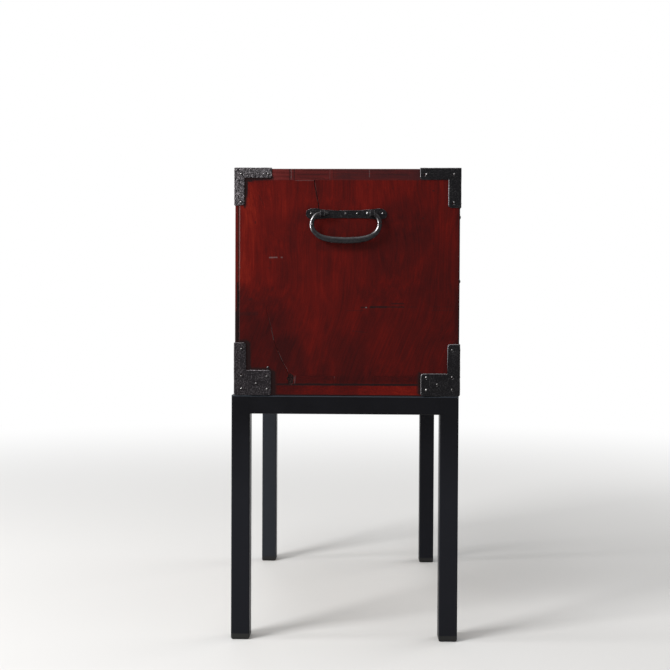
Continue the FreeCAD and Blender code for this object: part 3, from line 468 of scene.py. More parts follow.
def lacquer(name, grain, dark_marks=(), pale_marks=(), left_end=False, keyways=False):
    """Red lacquer; left_end adds what only that end shows, keyways paints shade into the fronts' key
    bores.
    """
    material, tree, surface, spot = new_material(name)
    axes = split(tree, spot)
    read_at = leaning(tree, spot, axes) if left_end else spot
    fibres, bands, clouds = wood_figure(tree, read_at, grain)
    mottle = grain_noise(tree, spot, (0.08, 0.08, 0.035), detail=3.0, roughness=0.65)
    tone = 0.435
    for figure, weight in ((fibres, 0.70), (bands, 0.50), (clouds, 0.75), (mottle, 0.38)):
        tone = sway(tree, tone, figure, weight)
    if left_end:
        # shade lightens and darkens the end: fading and dark patches, painted light and shadow among
        # them.
        shade = stored(tree, "shade")
        tone = calc(tree, "ADD", tone, shade)
    # Lighter towards the top: partly sun fade, partly painted light from above.
    lift = run_between(tree, axes["Z"], 340.0, 640.0, -0.12, 0.05)
    red = ramp(tree, calc(tree, "ADD", tone, lift), LACQUER_REDS)
    if left_end:
        layers = grain_noise(tree, spot, (0.3, 0.02, 0.45), roughness=0.7)
        layers = calc(tree, "ADD", calc(tree, "MULTIPLY_ADD", axes["Y"], 0.0010, layers), shade)
        top_edge = calc(tree, "GREATER_THAN", axes["Z"], TOP_Z - BOARD - 0.2)
        rings = ramp(tree, layers, END_GRAIN_REDS)
        red = blend_colours(tree, product(tree, top_edge, 0.75), red, rings)

    patches = grain_noise(tree, spot, (0.16,) * 3, detail=3.0)
    bare_edge = product(tree, stored(tree, "arris"), calc(tree, "MULTIPLY_CLAMP", patches, 0.85))
    red = blend_colours(tree, bare_edge, red, (0.105, 0.047, 0.036))
    if left_end:
        in_crack = product(tree, calc(tree, "COMPARE", axes["X"], 1.35 - CASE_X, 1.05),
                           calc(tree, "COMPARE", axes["Y"], 0.2, 146.3))
        red = blend_colours(tree, in_crack, red, CUT_DUST)
    if dark_marks:
        red = add_marks(tree, spot, axes, red, dark_marks, pale_marks)

    wood_tone = calc(tree, "MULTIPLY_ADD", bands, 0.6, calc(tree, "MULTIPLY", fibres, 0.4))
    bare = inside_case(tree, axes)
    colour = blend_colours(tree, bare, red, ramp(tree, wood_tone, WOOD_TONES))
    # Painted shade: the key bores are painted near black.
    if keyways:
        colour = blend_colours(tree, in_keyway(tree, axes), colour, (0.004, 0.003, 0.003))
    gloss = calc(tree, "MULTIPLY_ADD", clouds, 0.22, 0.26)
    gloss = calc(tree, "MULTIPLY_ADD", fibres, 0.14, gloss)
    gloss = calc(tree, "MULTIPLY_ADD", bare, 0.30, gloss)
    fill(tree, surface, {"Base Color": colour, "Roughness": gloss, "Specular IOR Level": 0.16,
                         "Specular Tint": (1.0, 0.32, 0.28, 1.0)})
    dents = grain_noise(tree, spot, (0.12,) * 3, detail=2.0)
    height = calc(tree, "MULTIPLY_ADD", dents, 0.7, calc(tree, "MULTIPLY", fibres, 0.5))
    set_bump(tree, surface, height, 0.35, 0.55)
    print(name, "has", len(tree.nodes), "nodes")
    return material


lacquer_upright = lacquer("lacquer_upright", "z")
lacquer_end = lacquer("lacquer_end", "z", DARK_MARKS, PALE_MARKS, left_end=True)
lacquer_level = lacquer("lacquer_level", "x")
lacquer_front = lacquer("lacquer_front", "x", keyways=True)
lacquer_back = lacquer("lacquer_back", "x", BACK_DARK_MARKS)
lacquer_top = lacquer("lacquer_top", "x", TOP_DARK_MARKS, TOP_PALE_MARKS, left_end=True)

# %% [markdown]
# Bare wood for the drawer boxes
#
# The drawers are light, unpainted wood, planed and gone slightly yellow. It is the lacquer's figure
# with a paler ramp and a rougher surface, so the same helper makes it.

# %% Bare wood
def bare_wood(name, grain):
    material, tree, surface, spot = new_material(name)
    fibres, bands, clouds = wood_figure(tree, spot, grain)
    tone = calc(tree, "MULTIPLY_ADD", bands, 0.75, calc(tree, "MULTIPLY", fibres, 0.25))
    wood = ramp(tree, sway(tree, tone, clouds, 0.25), WOOD_TONES)
    edge = product(tree, stored(tree, "arris"), 0.4)
    fill(tree, surface, {"Base Color": blend_colours(tree, edge, wood, (0.24, 0.15, 0.085)),
                         "Roughness": calc(tree, "MULTIPLY_ADD", fibres, 0.25, 0.50),
                         "Specular IOR Level": 0.2})
    set_bump(tree, surface, fibres, 0.25, 0.6)
    return material


bare_level = bare_wood("bare_wood_level", "x")
print("bare wood ready")

# %% [markdown]
# Iron, from black to worn grey
#
# The corner fittings, plates and nails are hand-forged iron: black where the burnt finish holds,
# grey where it has rubbed through on the hammered high spots and along the edges. The edges and
# sides that face the windows and the ceiling carry a painted highlight as well. The same net serves
# all of them with other numbers: a dark skin, a grey metal below, and noise that decides where the
# metal shows.

# %% Iron materials
def forged_iron(name, skin, metal, shown, rough, bump_mm, speckle=0.55, edge=0.6, gloss=0.10,
                contrast=3.2):
    """skin is the black finish, metal what shows through it, shown how much of it does (0 to 1)."""
    material, tree, surface, spot = new_material(name)
    hammered = grain_noise(tree, spot, (speckle,) * 3, detail=2.5, roughness=0.6)
    broad = grain_noise(tree, spot, (0.09,) * 3, detail=3.0)
    fine = grain_noise(tree, spot, (1.9,) * 3, detail=2.0)
    height = calc(tree, "MULTIPLY_ADD", fine, 0.25, calc(tree, "MULTIPLY", hammered, 0.75))
    shows = sway(tree, sway(tree, shown, height, contrast), broad, 0.25 * contrast)
    # More metal shows where the mesh marks a worn edge or a painted highlight.
    shows = calc(tree, "MULTIPLY_ADD_CLAMP", stored(tree, "arris"), edge, shows)
    fill(tree, surface, {"Base Color": blend_colours(tree, shows, skin, metal), "Metallic": shows,
                         "Roughness": sway(tree, rough, broad, 0.35), "Specular IOR Level": gloss})
    set_bump(tree, surface, height, bump_mm)
    return material


black_iron = forged_iron("black_iron", (0.0030, 0.0027, 0.0036), (0.270, 0.260, 0.270),
                         0.0, 0.36, 0.60, edge=0.50, contrast=0.50)
# The dusty and the worn grey iron are lighter partly from wear and partly as painted light; they go
# on the back fittings, which face the windows.
dusty_lit_iron = forged_iron("dusty_lit_black_iron", (0.0090, 0.0072, 0.0088), (0.220, 0.200, 0.212),
                         0.015, 0.36, 0.90, edge=0.42, contrast=1.5)
grey_iron = forged_iron("worn_lit_grey_iron", (0.0115, 0.0100, 0.0115), (0.150, 0.138, 0.146),
                        0.34, 0.27, 1.60, speckle=0.46, edge=0.4, contrast=3.6)
nail_iron = forged_iron("nail_iron", (0.0045, 0.0040, 0.0045), (0.42, 0.40, 0.40),
                        0.03, 0.28, 0.15, speckle=0.7, edge=0.95, contrast=0.3)
# The bails' bright metal shows only where a highlight is painted on them.
bail_iron = forged_iron("highlighted_iron", (0.0070, 0.0066, 0.0080), (0.52, 0.51, 0.52),
                        0.0, 0.24, 0.05, speckle=0.25, edge=0.97, gloss=0.18, contrast=0.08)
print("iron materials ready")

# %% [markdown]
# Paint, plastic and zinc for the stand
#
# The stand is a modern one: square steel tube with matt black powder coat, black plastic glides
# pressed into its feet and bright screws. Powder coat has a fine orange-peel skin that only a close
# look shows, so it is a very shallow bump and a little change of gloss.

# %% Stand materials
def coated(name, colour, worn, rough, gloss, speckle, bump_mm, metallic=0.0, painted_light=None):
    """An even coat; painted_light is a colour each for a painted highlight on the top edge, painted
    light on the lower legs and painted light on the far back leg.
    """
    material, tree, surface, spot = new_material(name)
    peel = grain_noise(tree, spot, (speckle,) * 3, detail=2.0)
    broad = grain_noise(tree, spot, (0.02,) * 3, roughness=0.65)
    share = calc(tree, "MULTIPLY_ADD_CLAMP", calc(tree, "SUBTRACT", broad, 0.5), 2.2, 0.35)
    coat = blend_colours(tree, share, colour, worn)
    if painted_light:
        # Painted light: lower legs lighter, the far back leg lighter, and a painted highlight along
        # the rails' top edge.
        rim, lit_lower_legs, lit_back_leg = painted_light
        height = split(tree, spot)["Z"]
        coat = blend_colours(tree, run_between(tree, height, 300.0, 190.0), coat, lit_lower_legs)
        corner = shader_node(tree, "VectorMath", {0: spot, 1: (1.0, 1.0, 0.0)},
                             operation="DOT_PRODUCT").outputs["Value"]
        coat = blend_colours(tree, run_between(tree, corner, 270.0, 330.0), coat, lit_back_leg)
        top_edge = calc(tree, "COMPARE", height, FOOT_Z - 0.8, 0.9)
        coat = blend_colours(tree, product(tree, top_edge, 0.85), coat, rim)
    fill(tree, surface, {"Base Color": coat, "Roughness": sway(tree, rough, broad, 0.25),
                         "Metallic": metallic, "Specular IOR Level": gloss})
    set_bump(tree, surface, peel, bump_mm, 0.6)
    return material


# The last three colours are the painted highlight on the top edge and the painted light on the lower
# legs and on the far back leg.
powder_coat = coated("black_powder_coat", (0.0020, 0.0020, 0.0032), (0.0040, 0.0041, 0.0058),
                     0.40, 0.09, 0.9, 0.05, painted_light=((0.036, 0.043, 0.054), (0.0085, 0.0090, 0.0122),
                                                  (0.0200, 0.0225, 0.0275)))
foot_plastic = coated("black_plastic", (0.006, 0.006, 0.006), (0.014, 0.0135, 0.013),
                      0.55, 0.3, 0.5, 0.05)
bright_zinc = coated("zinc_plate", (0.42, 0.43, 0.45), (0.33, 0.33, 0.33),
                     0.32, 0.5, 1.2, 0.02, metallic=1.0)
print("stand materials ready")

# %% [markdown]
# From a drawn piece to a real one
#
# A drawn board has knife edges, and nothing real has. Each node's triangles are copied, joined and
# made whole again, and then bevelled along every sharp outer edge. The faces that the bevel makes
# are marked with an attribute named arris, so that the materials know where hands and cloths rub;
# on the iron, nails and bails the same attribute also carries painted highlights.

# %% Helpers for shapes
def clean_copy(name):
    """The node's shape with its loose triangles joined and its flat faces whole, in millimetres."""
    bm = bmesh.new()
    bm.from_mesh(frame["nodes"][name].data)
    bmesh.ops.scale(bm, vec=(1000.0,) * 3, verts=bm.verts)
    bmesh.ops.remove_doubles(bm, verts=bm.verts, dist=0.001)
    bmesh.ops.dissolve_limit(bm, angle_limit=math.radians(1.0), verts=bm.verts, edges=bm.edges)
    return bm


def ease(bm, width, shortest=0.0, segments=2, wanted=None, worn=1.0):
    """Bevels the sharp outer edges and marks the new faces as arris, as much as they are worn."""
    mark = bm.faces.layers.float.get("arris") or bm.faces.layers.float.new("arris")
    edges = [e for e in bm.edges if e.is_manifold and e.is_convex and e.calc_length() > shortest
             and e.calc_face_angle() > math.radians(50.0) and (wanted is None or wanted(e))]
    made = bmesh.ops.bevel(bm, geom=edges, offset=width, offset_type="OFFSET", segments=segments,
                           profile=0.5, affect="EDGES", clamp_overlap=False, material=-1)
    for face in made["faces"]:
        face[mark] = worn
    return len(edges)


def light_edges_facing_lamps(bm):
    """Paints a highlight on every rounded edge, brighter on those that face up, and keeps the black
    on those that face down or forward, away from the windows.
    """
    mark = bm.faces.layers.float["arris"]
    bm.normal_update()
    for face in bm.faces:
        if max(abs(part) for part in face.normal) < 0.95:
            face[mark] = 1.0
        face[mark] *= 0.1 if face.normal.y + face.normal.z < 0.35 else 1.0 + max(0.0, face.normal.z)


def paint_highlight(parts, towards, start, strength=1.0):
    """Marks faces or corners with a painted highlight, the more they look towards a direction."""
    mark = parts.layers.float.get("arris") or parts.layers.float.new("arris")
    for part in parts:
        share = min(1.0, max(0.0, (part.normal.dot(towards) - start) / (0.97 - start)))
        part[mark] = share * share * (3.0 - 2.0 * share) * strength


def slice_finely(bm, spacing, axes="xyz"):
    """Cuts a shape into a grid, so that its faces can be hammered."""
    for axis in axes:
        number = "xyz".index(axis)
        low = min(v.co[number] for v in bm.verts)
        high = max(v.co[number] for v in bm.verts)
        normal = Vector((axis == "x", axis == "y", axis == "z"))
        for step in range(1, int((high - low) / spacing) + 1):
            spot = normal * (low + step * spacing)
            bmesh.ops.bisect_plane(bm, geom=bm.verts[:] + bm.edges[:] + bm.faces[:], dist=0.0001,
                                   plane_co=spot, plane_no=normal)


def hammer(bm, depth, spread, seed=0.0):
    """Beats the surface in by up to depth, in dents about spread wide."""
    bm.normal_update()
    shift = Vector((seed, seed * 0.7, -seed))
    for vert, normal in [(v, v.normal.copy()) for v in bm.verts]:
        vert.co += normal * depth * min(0.0, noise.noise(vert.co / spread + shift) - 0.2)


def pour(part, target):
    """Adds one shape to another and frees it."""
    mesh = bpy.data.meshes.new("part")
    part.to_mesh(mesh)
    part.free()
    target.from_mesh(mesh)
    bpy.data.meshes.remove(mesh)


def finish(name, bm, material, replaced, body, weighted=True):
    """Turns a shape in millimetres into a piece that stands for drawn nodes and rides on a body."""
    mesh = bpy.data.meshes.new(name)
    bmesh.ops.scale(bm, vec=(MM,) * 3, verts=bm.verts)
    for face in bm.faces:
        face.smooth = True
    bm.to_mesh(mesh)
    bm.free()
    mesh.materials.append(material)
    piece = bpy.data.objects.new(name, mesh)
    scene.collection.objects.link(piece)
    if weighted:
        even = piece.modifiers.new("even shading", "WEIGHTED_NORMAL")
        even.keep_sharp = True
    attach(piece, body)
    if replaced:
        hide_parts(*replaced)
    print(name, "has", len(mesh.polygons), "faces")
    return piece


def dress(name, manner, bm, material, weighted=True):
    """Finishes the piece that stands for one drawn node, on that node's own body."""
    return finish(f"{name}_{manner}", bm, material, [name], body_of[name], weighted)


print("shape helpers ready")

# %% [markdown]
# Boards of the case
#
# The case is finger-jointed from 15 mm boards. Years of lifting have rounded its long outer edges,
# so these get a wide bevel first, and every other edge a narrow one. The boards that show on the
# left end are then cut into a grid, because its fading, darkening and grime, with painted light and
# shadow among them, are written into the corners of the mesh: broad soft strokes would need a
# picture otherwise, or far more nodes than a material should have.

# %% Case boards
CASE_FINISH = {
    "top_board": lacquer_top, "bottom_board": lacquer_top, "left_side_board": lacquer_end,
    "right_side_board": lacquer_upright, "lower_divider": lacquer_level,
    "upper_divider": lacquer_level, "back_board_lower": lacquer_back,
    "back_board_upper": lacquer_back, "plinth_left": lacquer_top,
    "plinth_right": lacquer_level, "plinth_front": lacquer_level, "plinth_back": lacquer_level}
CASE_PLANES = {"x": (-CASE_X, CASE_X), "y": (FRONT_Y, BOARDS_BACK_Y, BACK_Y), "z": (FOOT_Z, TOP_Z)}


def sides_of(edge, reach):
    """The number of directions in which an edge lies on an outer face of the case, within reach."""
    return sum(any(all(abs(getattr(v.co, axis) - place) < reach for v in edge.verts)
                   for place in places) for axis, places in CASE_PLANES.items())


print(len(CASE_FINISH), "boards to dress")

# %% Fading, darkening and grime of the left end, with painted light and shadow
# Broad strokes: lighter where sun has faded it, partly painted light; darker patches, among them
# the bail's painted shadow and painted shade on the front edge; grime and painted shadow round the
# fittings.
# Lighter patches; the broad ones at the top of the back edge are partly sun fade and partly painted
# light.
FADED_AND_LIT = (
    (128.0, 618.0, 122.0, 500.0, 46.0, 0.15), (30.0, 440.0, -20.0, 380.0, 40.0, 0.05),
    (60.0, 336.0, -20.0, 336.0, 11.0, 0.10), (-20.0, 336.0, -90.0, 336.0, 12.0, 0.38),
    (133.0, 612.0, 137.0, 490.0, 17.0, 0.28))
# The strokes at z 531 and from z 566 to 538 are the bail's painted shadow, the one along y -146
# painted shade on the front edge; the others darken patches.
DARKENED_AND_SHADOWED = (
    (125.0, 440.0, 110.0, 355.0, 42.0, 0.15), (-70.0, 540.0, -110.0, 500.0, 50.0, 0.13),
    (40.0, 372.0, -40.0, 352.0, 22.0, 0.10), (5.0, 545.0, -30.0, 540.0, 30.0, 0.06),
    (38.0, 530.0, -34.0, 531.0, 8.0, 0.20), (-50.0, 566.0, -46.0, 538.0, 10.0, 0.18),
    (82.0, 392.0, 76.0, 356.0, 26.0, 0.30), (-95.0, 452.0, -95.0, 415.0, 44.0, 0.12),
    (-146.0, 598.0, -145.5, 402.0, 5.5, 0.26), (62.0, 352.0, -92.0, 351.0, 8.0, 0.22),
    (10.0, 392.0, -20.0, 352.0, 26.0, 0.14), (12.0, 627.0, -92.0, 627.0, 9.0, 0.13))
# Dark halos round the fittings: grime, and painted shadow to the right of and below the plates.
GRIME_AND_SHADOW = (
    (138.2, 617.6, 139.0, 598.0, 3.0, 1.7), (139.2, 598.0, 139.6, 583.0, 2.2, 1.4),
    (138.6, 618.6, 131.0, 618.8, 3.4, 1.7), (131.0, 619.0, 118.0, 619.6, 2.8, 1.6),
    (118.0, 619.8, 102.0, 620.6, 2.0, 1.5), (135.8, 399.0, 134.8, 366.0, 4.1, 1.6),
    (134.0, 364.2, 106.0, 364.0, 2.8, 1.6), (101.6, 360.0, 101.2, 332.0, 4.4, 1.6),
    (147.0, 401.8, 137.0, 402.0, 2.4, 1.3), (-95.0, 360.0, -94.6, 334.0, 3.0, 1.3))


def stroke_strength(y, z, strokes):
    """The strongest of many soft strokes, each y, z, y, z, half width, depth, at one place."""
    strongest = 0.0
    for y0, z0, y1, z1, half_width, depth in strokes:
        run, offset = Vector((y1 - y0, z1 - z0)), Vector((y - y0, z - z0))
        share = min(1.0, max(0.0, offset.dot(run) / run.length_squared))
        soft = min(1.0, max(0.0, (1.25 - (offset - run * share).length / half_width) / 0.9))
        strongest = max(strongest, soft * soft * (3.0 - 2.0 * soft) * depth)
    return strongest


def stain_and_shade(bm):
    """Cuts a board into a grid and writes the broad strokes into its corners: fading, dark patches
    and painted light and shadow as shade, and grime with painted shadow as a second attribute.
    """
    slice_finely(bm, 2.5, "yz")
    shade, grime_and_shadow = bm.verts.layers.float.new("shade"), bm.verts.layers.float.new("grime_and_shadow")
    for vert in bm.verts:
        if vert.co.x < LEFT_SKIN_X:
            y, z = vert.co.y, vert.co.z
            vert[shade] = stroke_strength(y, z, FADED_AND_LIT) - stroke_strength(y, z, DARKENED_AND_SHADOWED)
            vert[grime_and_shadow] = stroke_strength(y, z, GRIME_AND_SHADOW)


# Counts of the light and dark strokes, painted light and shadow among them.
print(len(FADED_AND_LIT), "faded,", len(DARKENED_AND_SHADOWED), "darkened and", len(GRIME_AND_SHADOW), "grimy strokes")

# %% Dress the boards
case_pieces = {}
for name, material in CASE_FINISH.items():
    shape = clean_copy(name)
    ease(shape, 0.9, 20.0, 3, lambda edge: sides_of(edge, 0.08) == 2)
    ease(shape, 0.25, 1.5, worn=0.0)
    if name in ("left_side_board", "top_board", "bottom_board", "plinth_left"):
        stain_and_shade(shape)
    case_pieces[name] = dress(name, "finished", shape, material)

# %% [markdown]
# Drawers
#
# Each drawer has a lacquered front and a box of thin bare boards. The boards are plain, so easing
# them is all that they need.

# %% Drawer boards
TIERS = ("bottom", "middle", "top")
for tier in TIERS:
    for part in ("front", "left_side", "right_side", "back", "bottom"):
        name = tier + "_drawer_" + part
        shape = clean_copy(name)
        if part == "front":
            ease(shape, 0.6, 1.5)
            dress(name, "finished", shape, lacquer_front)
        else:
            ease(shape, 0.4, 1.5)
            dress(name, "finished", shape, bare_level)

# %% [markdown]
# Cracks and a lost chip
#
# The end board has split twice along its length, and a chip is gone from a joint at its foot. A
# dark line would only look right from one side, so the splits are cut: a thin tapering tube follows
# each one, and a Boolean modifier takes it out of the wood. The modifier is then made permanent and
# the tubes removed.

# %% Cut the cracks
CRACKS = (
    ((46.8, 621.0, 0.7), (46.6, 615.1, 0.62), (45.7, 609.0, 0.6), (44.0, 600.9, 0.62),
     (42.0, 590.8, 0.6), (40.6, 580.3, 0.6), (40.0, 574.0, 0.4)),
    ((111.2, 452.4, 0.1), (110.5, 445.7, 0.28), (107.9, 435.4, 0.36), (102.7, 417.0, 0.42),
     (100.1, 402.7, 0.45), (95.0, 389.3, 0.45), (88.8, 375.0, 0.48), (82.6, 364.8, 0.5),
     (80.0, 356.7, 0.62), (78.1, 346.0, 0.6)))


def add_spline(curve, points, order, steps):
    """Gives a curve one smooth line that follows its points."""
    spline = curve.splines.new("NURBS")
    spline.points.add(len(points) - 1)
    for point, place in zip(spline.points, points):
        point.co = (*place, 1.0)
    spline.order_u = order
    spline.resolution_u = steps
    return spline


def shape_of(curve):
    """Makes a curve into a shape and removes the curve."""
    holder = bpy.data.objects.new("path", curve)
    made = bpy.data.meshes.new_from_object(holder)
    shape = bmesh.new()
    shape.from_mesh(made)
    bpy.data.objects.remove(holder)
    bpy.data.curves.remove(curve)
    bpy.data.meshes.remove(made)
    bmesh.ops.remove_doubles(shape, verts=shape.verts, dist=0.001)
    return shape


def tube(points, facets, order=3):
    """A tube along (y, z, radius) points in the plane x = 0; all in millimetres."""
    curve = bpy.data.curves.new("path", "CURVE")
    curve.dimensions = "3D"
    curve.twist_mode = "Z_UP"
    curve.bevel_depth = 1.0
    curve.bevel_resolution = facets
    curve.use_fill_caps = True
    spline = add_spline(curve, [(0.0, y, z) for y, z, radius in points], order, 8)
    spline.use_endpoint_u = True
    for point, (y, z, radius) in zip(spline.points, points):
        point.radius = radius
    shape = shape_of(curve)
    bmesh.ops.recalc_face_normals(shape, faces=shape.faces)
    return shape


def cut_out(piece, cutter_shape):
    """Takes a shape out of a piece with a Boolean modifier and makes the cut permanent."""
    mesh = bpy.data.meshes.new("cutter")
    bmesh.ops.scale(cutter_shape, vec=(MM,) * 3, verts=cutter_shape.verts)
    cutter_shape.to_mesh(mesh)
    cutter_shape.free()
    cutter = bpy.data.objects.new("cutter", mesh)
    scene.collection.objects.link(cutter)
    cut = piece.modifiers.new("cut", "BOOLEAN")
    cut.object = cutter
    cut.solver = "EXACT"
    even = piece.modifiers.get("even shading")
    even.show_viewport = False
    bpy.context.view_layer.update()
    seen_piece = piece.evaluated_get(bpy.context.evaluated_depsgraph_get())
    result = bpy.data.meshes.new_from_object(seen_piece)
    old, before = piece.data, len(piece.data.vertices)
    piece.modifiers.remove(cut)
    piece.data = result
    even.show_viewport = True
    bpy.data.objects.remove(cutter)
    bpy.data.meshes.remove(old)
    result.name = piece.name
    print(piece.name, "went from", before, "to", len(result.vertices), "corners")


for crack in CRACKS:
    shape = tube([(y + chance.uniform(-0.25, 0.25), z, r) for y, z, r in crack], facets=1)
    bmesh.ops.scale(shape, vec=(2.6, 1.0, 1.0), verts=shape.verts)
    bmesh.ops.translate(shape, vec=(-CASE_X, 0.0, 0.0), verts=shape.verts)
    cut_out(case_pieces["left_side_board"], shape)

# %% Break out the chip
for name in ("left_side_board", "bottom_board"):
    shape = bmesh.new()
    bmesh.ops.create_icosphere(shape, subdivisions=3, radius=1.0)
    bmesh.ops.scale(shape, vec=(2.2, 4.8, 7.8), verts=shape.verts)
    for vert in shape.verts:
        ragged = 2.6 * noise.noise(vert.co * 0.55) + 1.2 * noise.noise(vert.co * 1.6)
        vert.co += vert.co.normalized() * ragged
    bmesh.ops.translate(shape, vec=(-CASE_X, 77.4, 351.6), verts=shape.verts)
    cut_out(case_pieces[name], shape)

# %% [markdown]
# Corner fittings
#
# Eight folded iron plates hold the corners. They were cut and hammered by hand, so no two have arms
# of the same length. Each drawn plate is cut into a fine grid and beaten with noise, and the four
# on the left end are drawn in or out by fractions of their own size. An even bevel runs along the
# rim, and its edges that face the windows and the ceiling get a painted highlight.

# %% Hammered fittings
CASE_SIDES = {"front": FRONT_Y, "back": BACK_Y, "top": TOP_Z, "bottom": FOOT_Z}
# Distance from the corner, as drawn and as forged, along the depth and along the height.
FORGED = {
    "top_fitting_left_back": (((14.0, 12.5), (51.0, 49.3)), ((14.0, 12.4), (51.0, 49.2))),
    "top_fitting_left_front": (((14.0, 16.0), (51.0, 53.7)), ((14.0, 14.6), (51.0, 52.0))),
    "bottom_fitting_left_back": (((15.5, 15.2), (50.5, 49.0)), ((32.0, 34.0), (70.3, 70.9))),
    "bottom_fitting_left_front": (((15.5, 15.7), (50.5, 51.3)), ((32.0, 30.5), (70.3, 70.0)))}
# The back fittings, which face the windows, are greyer: partly wear, partly painted light.
FITTING_IRON = {"top_back": grey_iron, "top_front": black_iron, "bottom_back": dusty_lit_iron,
                "bottom_front": black_iron}


def forged_distance(distance, stops):
    """Moves one distance from the corner to where the smith left it."""
    if distance <= 0.0:
        return distance
    drawn_0 = forged_0 = 0.0
    for drawn, forged in stops:
        if distance <= drawn:
            return forged_0 + (distance - drawn_0) * (forged - forged_0) / (drawn - drawn_0)
        drawn_0, forged_0 = drawn, forged
    return distance + forged_0 - drawn_0


def reforge(bm, depth_edge, height_edge, stops):
    """Draws the arms of a fitting in or out, along the depth and the height of the case."""
    for vert in bm.verts:
        for number, edge, middle, rule in ((1, depth_edge, MIDDLE_Y, stops[0]),
                                           (2, height_edge, MIDDLE_Z, stops[1])):
            inward = -1.0 if edge > middle else 1.0
            distance = (vert.co[number] - edge) * inward
            vert.co[number] = edge + inward * forged_distance(distance, rule)


CORNERS = itertools.product(("top", "bottom"), ("left", "right"), ("front", "back"))
for level_name, side, end in CORNERS:
    name = f"{level_name}_fitting_{side}_{end}"
    shape = clean_copy(name)
    ease(shape, 0.9, wanted=lambda edge: not sides_of(edge, 0.05))
    # A painted highlight on the edges that face the windows and the ceiling.
    light_edges_facing_lamps(shape)
    slice_finely(shape, 2.6)
    if name in FORGED:
        reforge(shape, CASE_SIDES[end], CASE_SIDES[level_name], FORGED[name])
    seed = chance.uniform(0.0, 50.0)
    hammer(shape, 0.16, 3.4, seed)
    hammer(shape, 0.22, 14.0, seed + 9.0)
    dress(name, "hammered", shape, FITTING_IRON[level_name + "_" + end])

# %% [markdown]
# Nails
#
# The nails have small domed heads, hammered down by hand. One could be placed many times as it is,
# but a row of equal heads looks machined. Each is spun round its own axis from seven points of a
# half section, then squashed and tilted a little. Their places are read from the drawn nails.

# %% Helpers for nails
def islands(bm):
    """The separate shells of a shape, as lists of corners, always in the order of their corners."""
    reached, found = set(), []
    for first in bm.verts:
        if first not in reached:
            reached.add(first)
            group = [first]
            for vert in group:
                for e in vert.link_edges:
                    other = e.other_vert(vert)
                    if other not in reached:
                        reached.add(other)
                        group.append(other)
            found.append(group)
    return found


def extent(verts):
    """The lowest and the highest corner of the box round some corners."""
    return [Vector([pick(v.co[i] for v in verts) for i in range(3)]) for pick in (min, max)]


def spun(bm, section, steps=12):
    """Spins a half section of (radius, height) round z and closes it."""
    verts = [bm.verts.new((r, 0.0, h)) for r, h in section]
    edges = [bm.edges.new(pair) for pair in zip(verts, verts[1:])]
    bmesh.ops.spin(bm, geom=verts + edges, cent=(0.0, 0.0, 0.0), axis=(0.0, 0.0, 1.0),
                   dvec=(0.0, 0.0, 0.0), angle=math.tau, steps=steps, use_merge=True)


# Where the painted highlight on the nail heads looks: towards the windows and up.
NAIL_HIGHLIGHT_AIM = Vector((-0.1, 0.35, 0.45))


def add_nail(target, head_radius, head_height, shank, centre, outward, flat=1.0):
    """One nail with its head's underside at centre."""
    nail = bmesh.new()
    r, h = head_radius, head_height * flat
    spun(nail, ((0.0, h), (r * 0.42, h * 0.93), (r * 0.78, h * 0.62), (r, h * 0.16),
                (r * 0.97, 0.0), (r * 0.45, 0.0), (r * 0.40, -shank), (0.0, -shank - 0.6)))
    bmesh.ops.remove_doubles(nail, verts=nail.verts, dist=0.0005)
    bmesh.ops.recalc_face_normals(nail, faces=nail.faces)
    seed = Vector((chance.uniform(0, 90), 0.0, 0.0))
    for vert in nail.verts:
        if vert.co.z > -0.01:
            vert.co.xy *= 1.0 + 0.16 * noise.noise(vert.co * 0.5 + seed)
            vert.co.z += 0.12 * h * noise.noise(vert.co * 0.8 + seed) if vert.co.z > 0.1 else 0.0
    turn = outward.to_track_quat("Z", "Y").to_matrix().to_4x4()
    tilt = Matrix.Rotation(math.radians(chance.uniform(-5, 5)), 4, "X")
    spin = Matrix.Rotation(chance.uniform(0, math.tau), 4, "Z")
    place = Matrix.Translation(centre) @ turn @ spin @ tilt
    bmesh.ops.transform(nail, matrix=place, verts=nail.verts)
    nail.normal_update()
    # A painted highlight on the side of the head that faces the windows.
    paint_highlight(nail.faces, (outward * 0.8 + NAIL_HIGHLIGHT_AIM).normalized(), 0.84, chance.uniform(0.3, 0.85))
    pour(nail, target)


# %% Nails of the case
HEAD_RADIUS, HEAD_HEIGHT, SHANK = 1.95, 1.1, 2.4
drawn = clean_copy("iron_nails")
nails = bmesh.new()
found = islands(drawn)
for group in found:
    low, high = extent(group)
    centre = (low + high) / 2
    axis = max(range(3), key=lambda i: high[i] - low[i])
    outward = Vector((0.0, 0.0, 0.0))
    outward[axis] = 1.0 if centre[axis] > (0.0, MIDDLE_Y, MIDDLE_Z)[axis] else -1.0
    tip = high[axis] if outward[axis] > 0 else low[axis]
    centre[axis] = tip - outward[axis] * HEAD_HEIGHT
    add_nail(nails, HEAD_RADIUS * chance.uniform(0.88, 1.0), HEAD_HEIGHT, SHANK, centre, outward,
             chance.uniform(0.78, 0.9))
drawn.free()
dress("iron_nails", "hammered", nails, nail_iron, weighted=False)
print(len(found), "nails")

# %% [markdown]
# The carrying handles
#
# A long hammered plate with a rounded lobe at each end, two eye posts through it, and a bail that
# swings in their eyes. The bail is the most handled part: forged nearly round with four soft flats,
# thick in the middle and thin at its pins, and not quite even. A curve with a radius at each point
# gives exactly that, and the flats are pressed in afterwards by moving its corners along their
# normals.

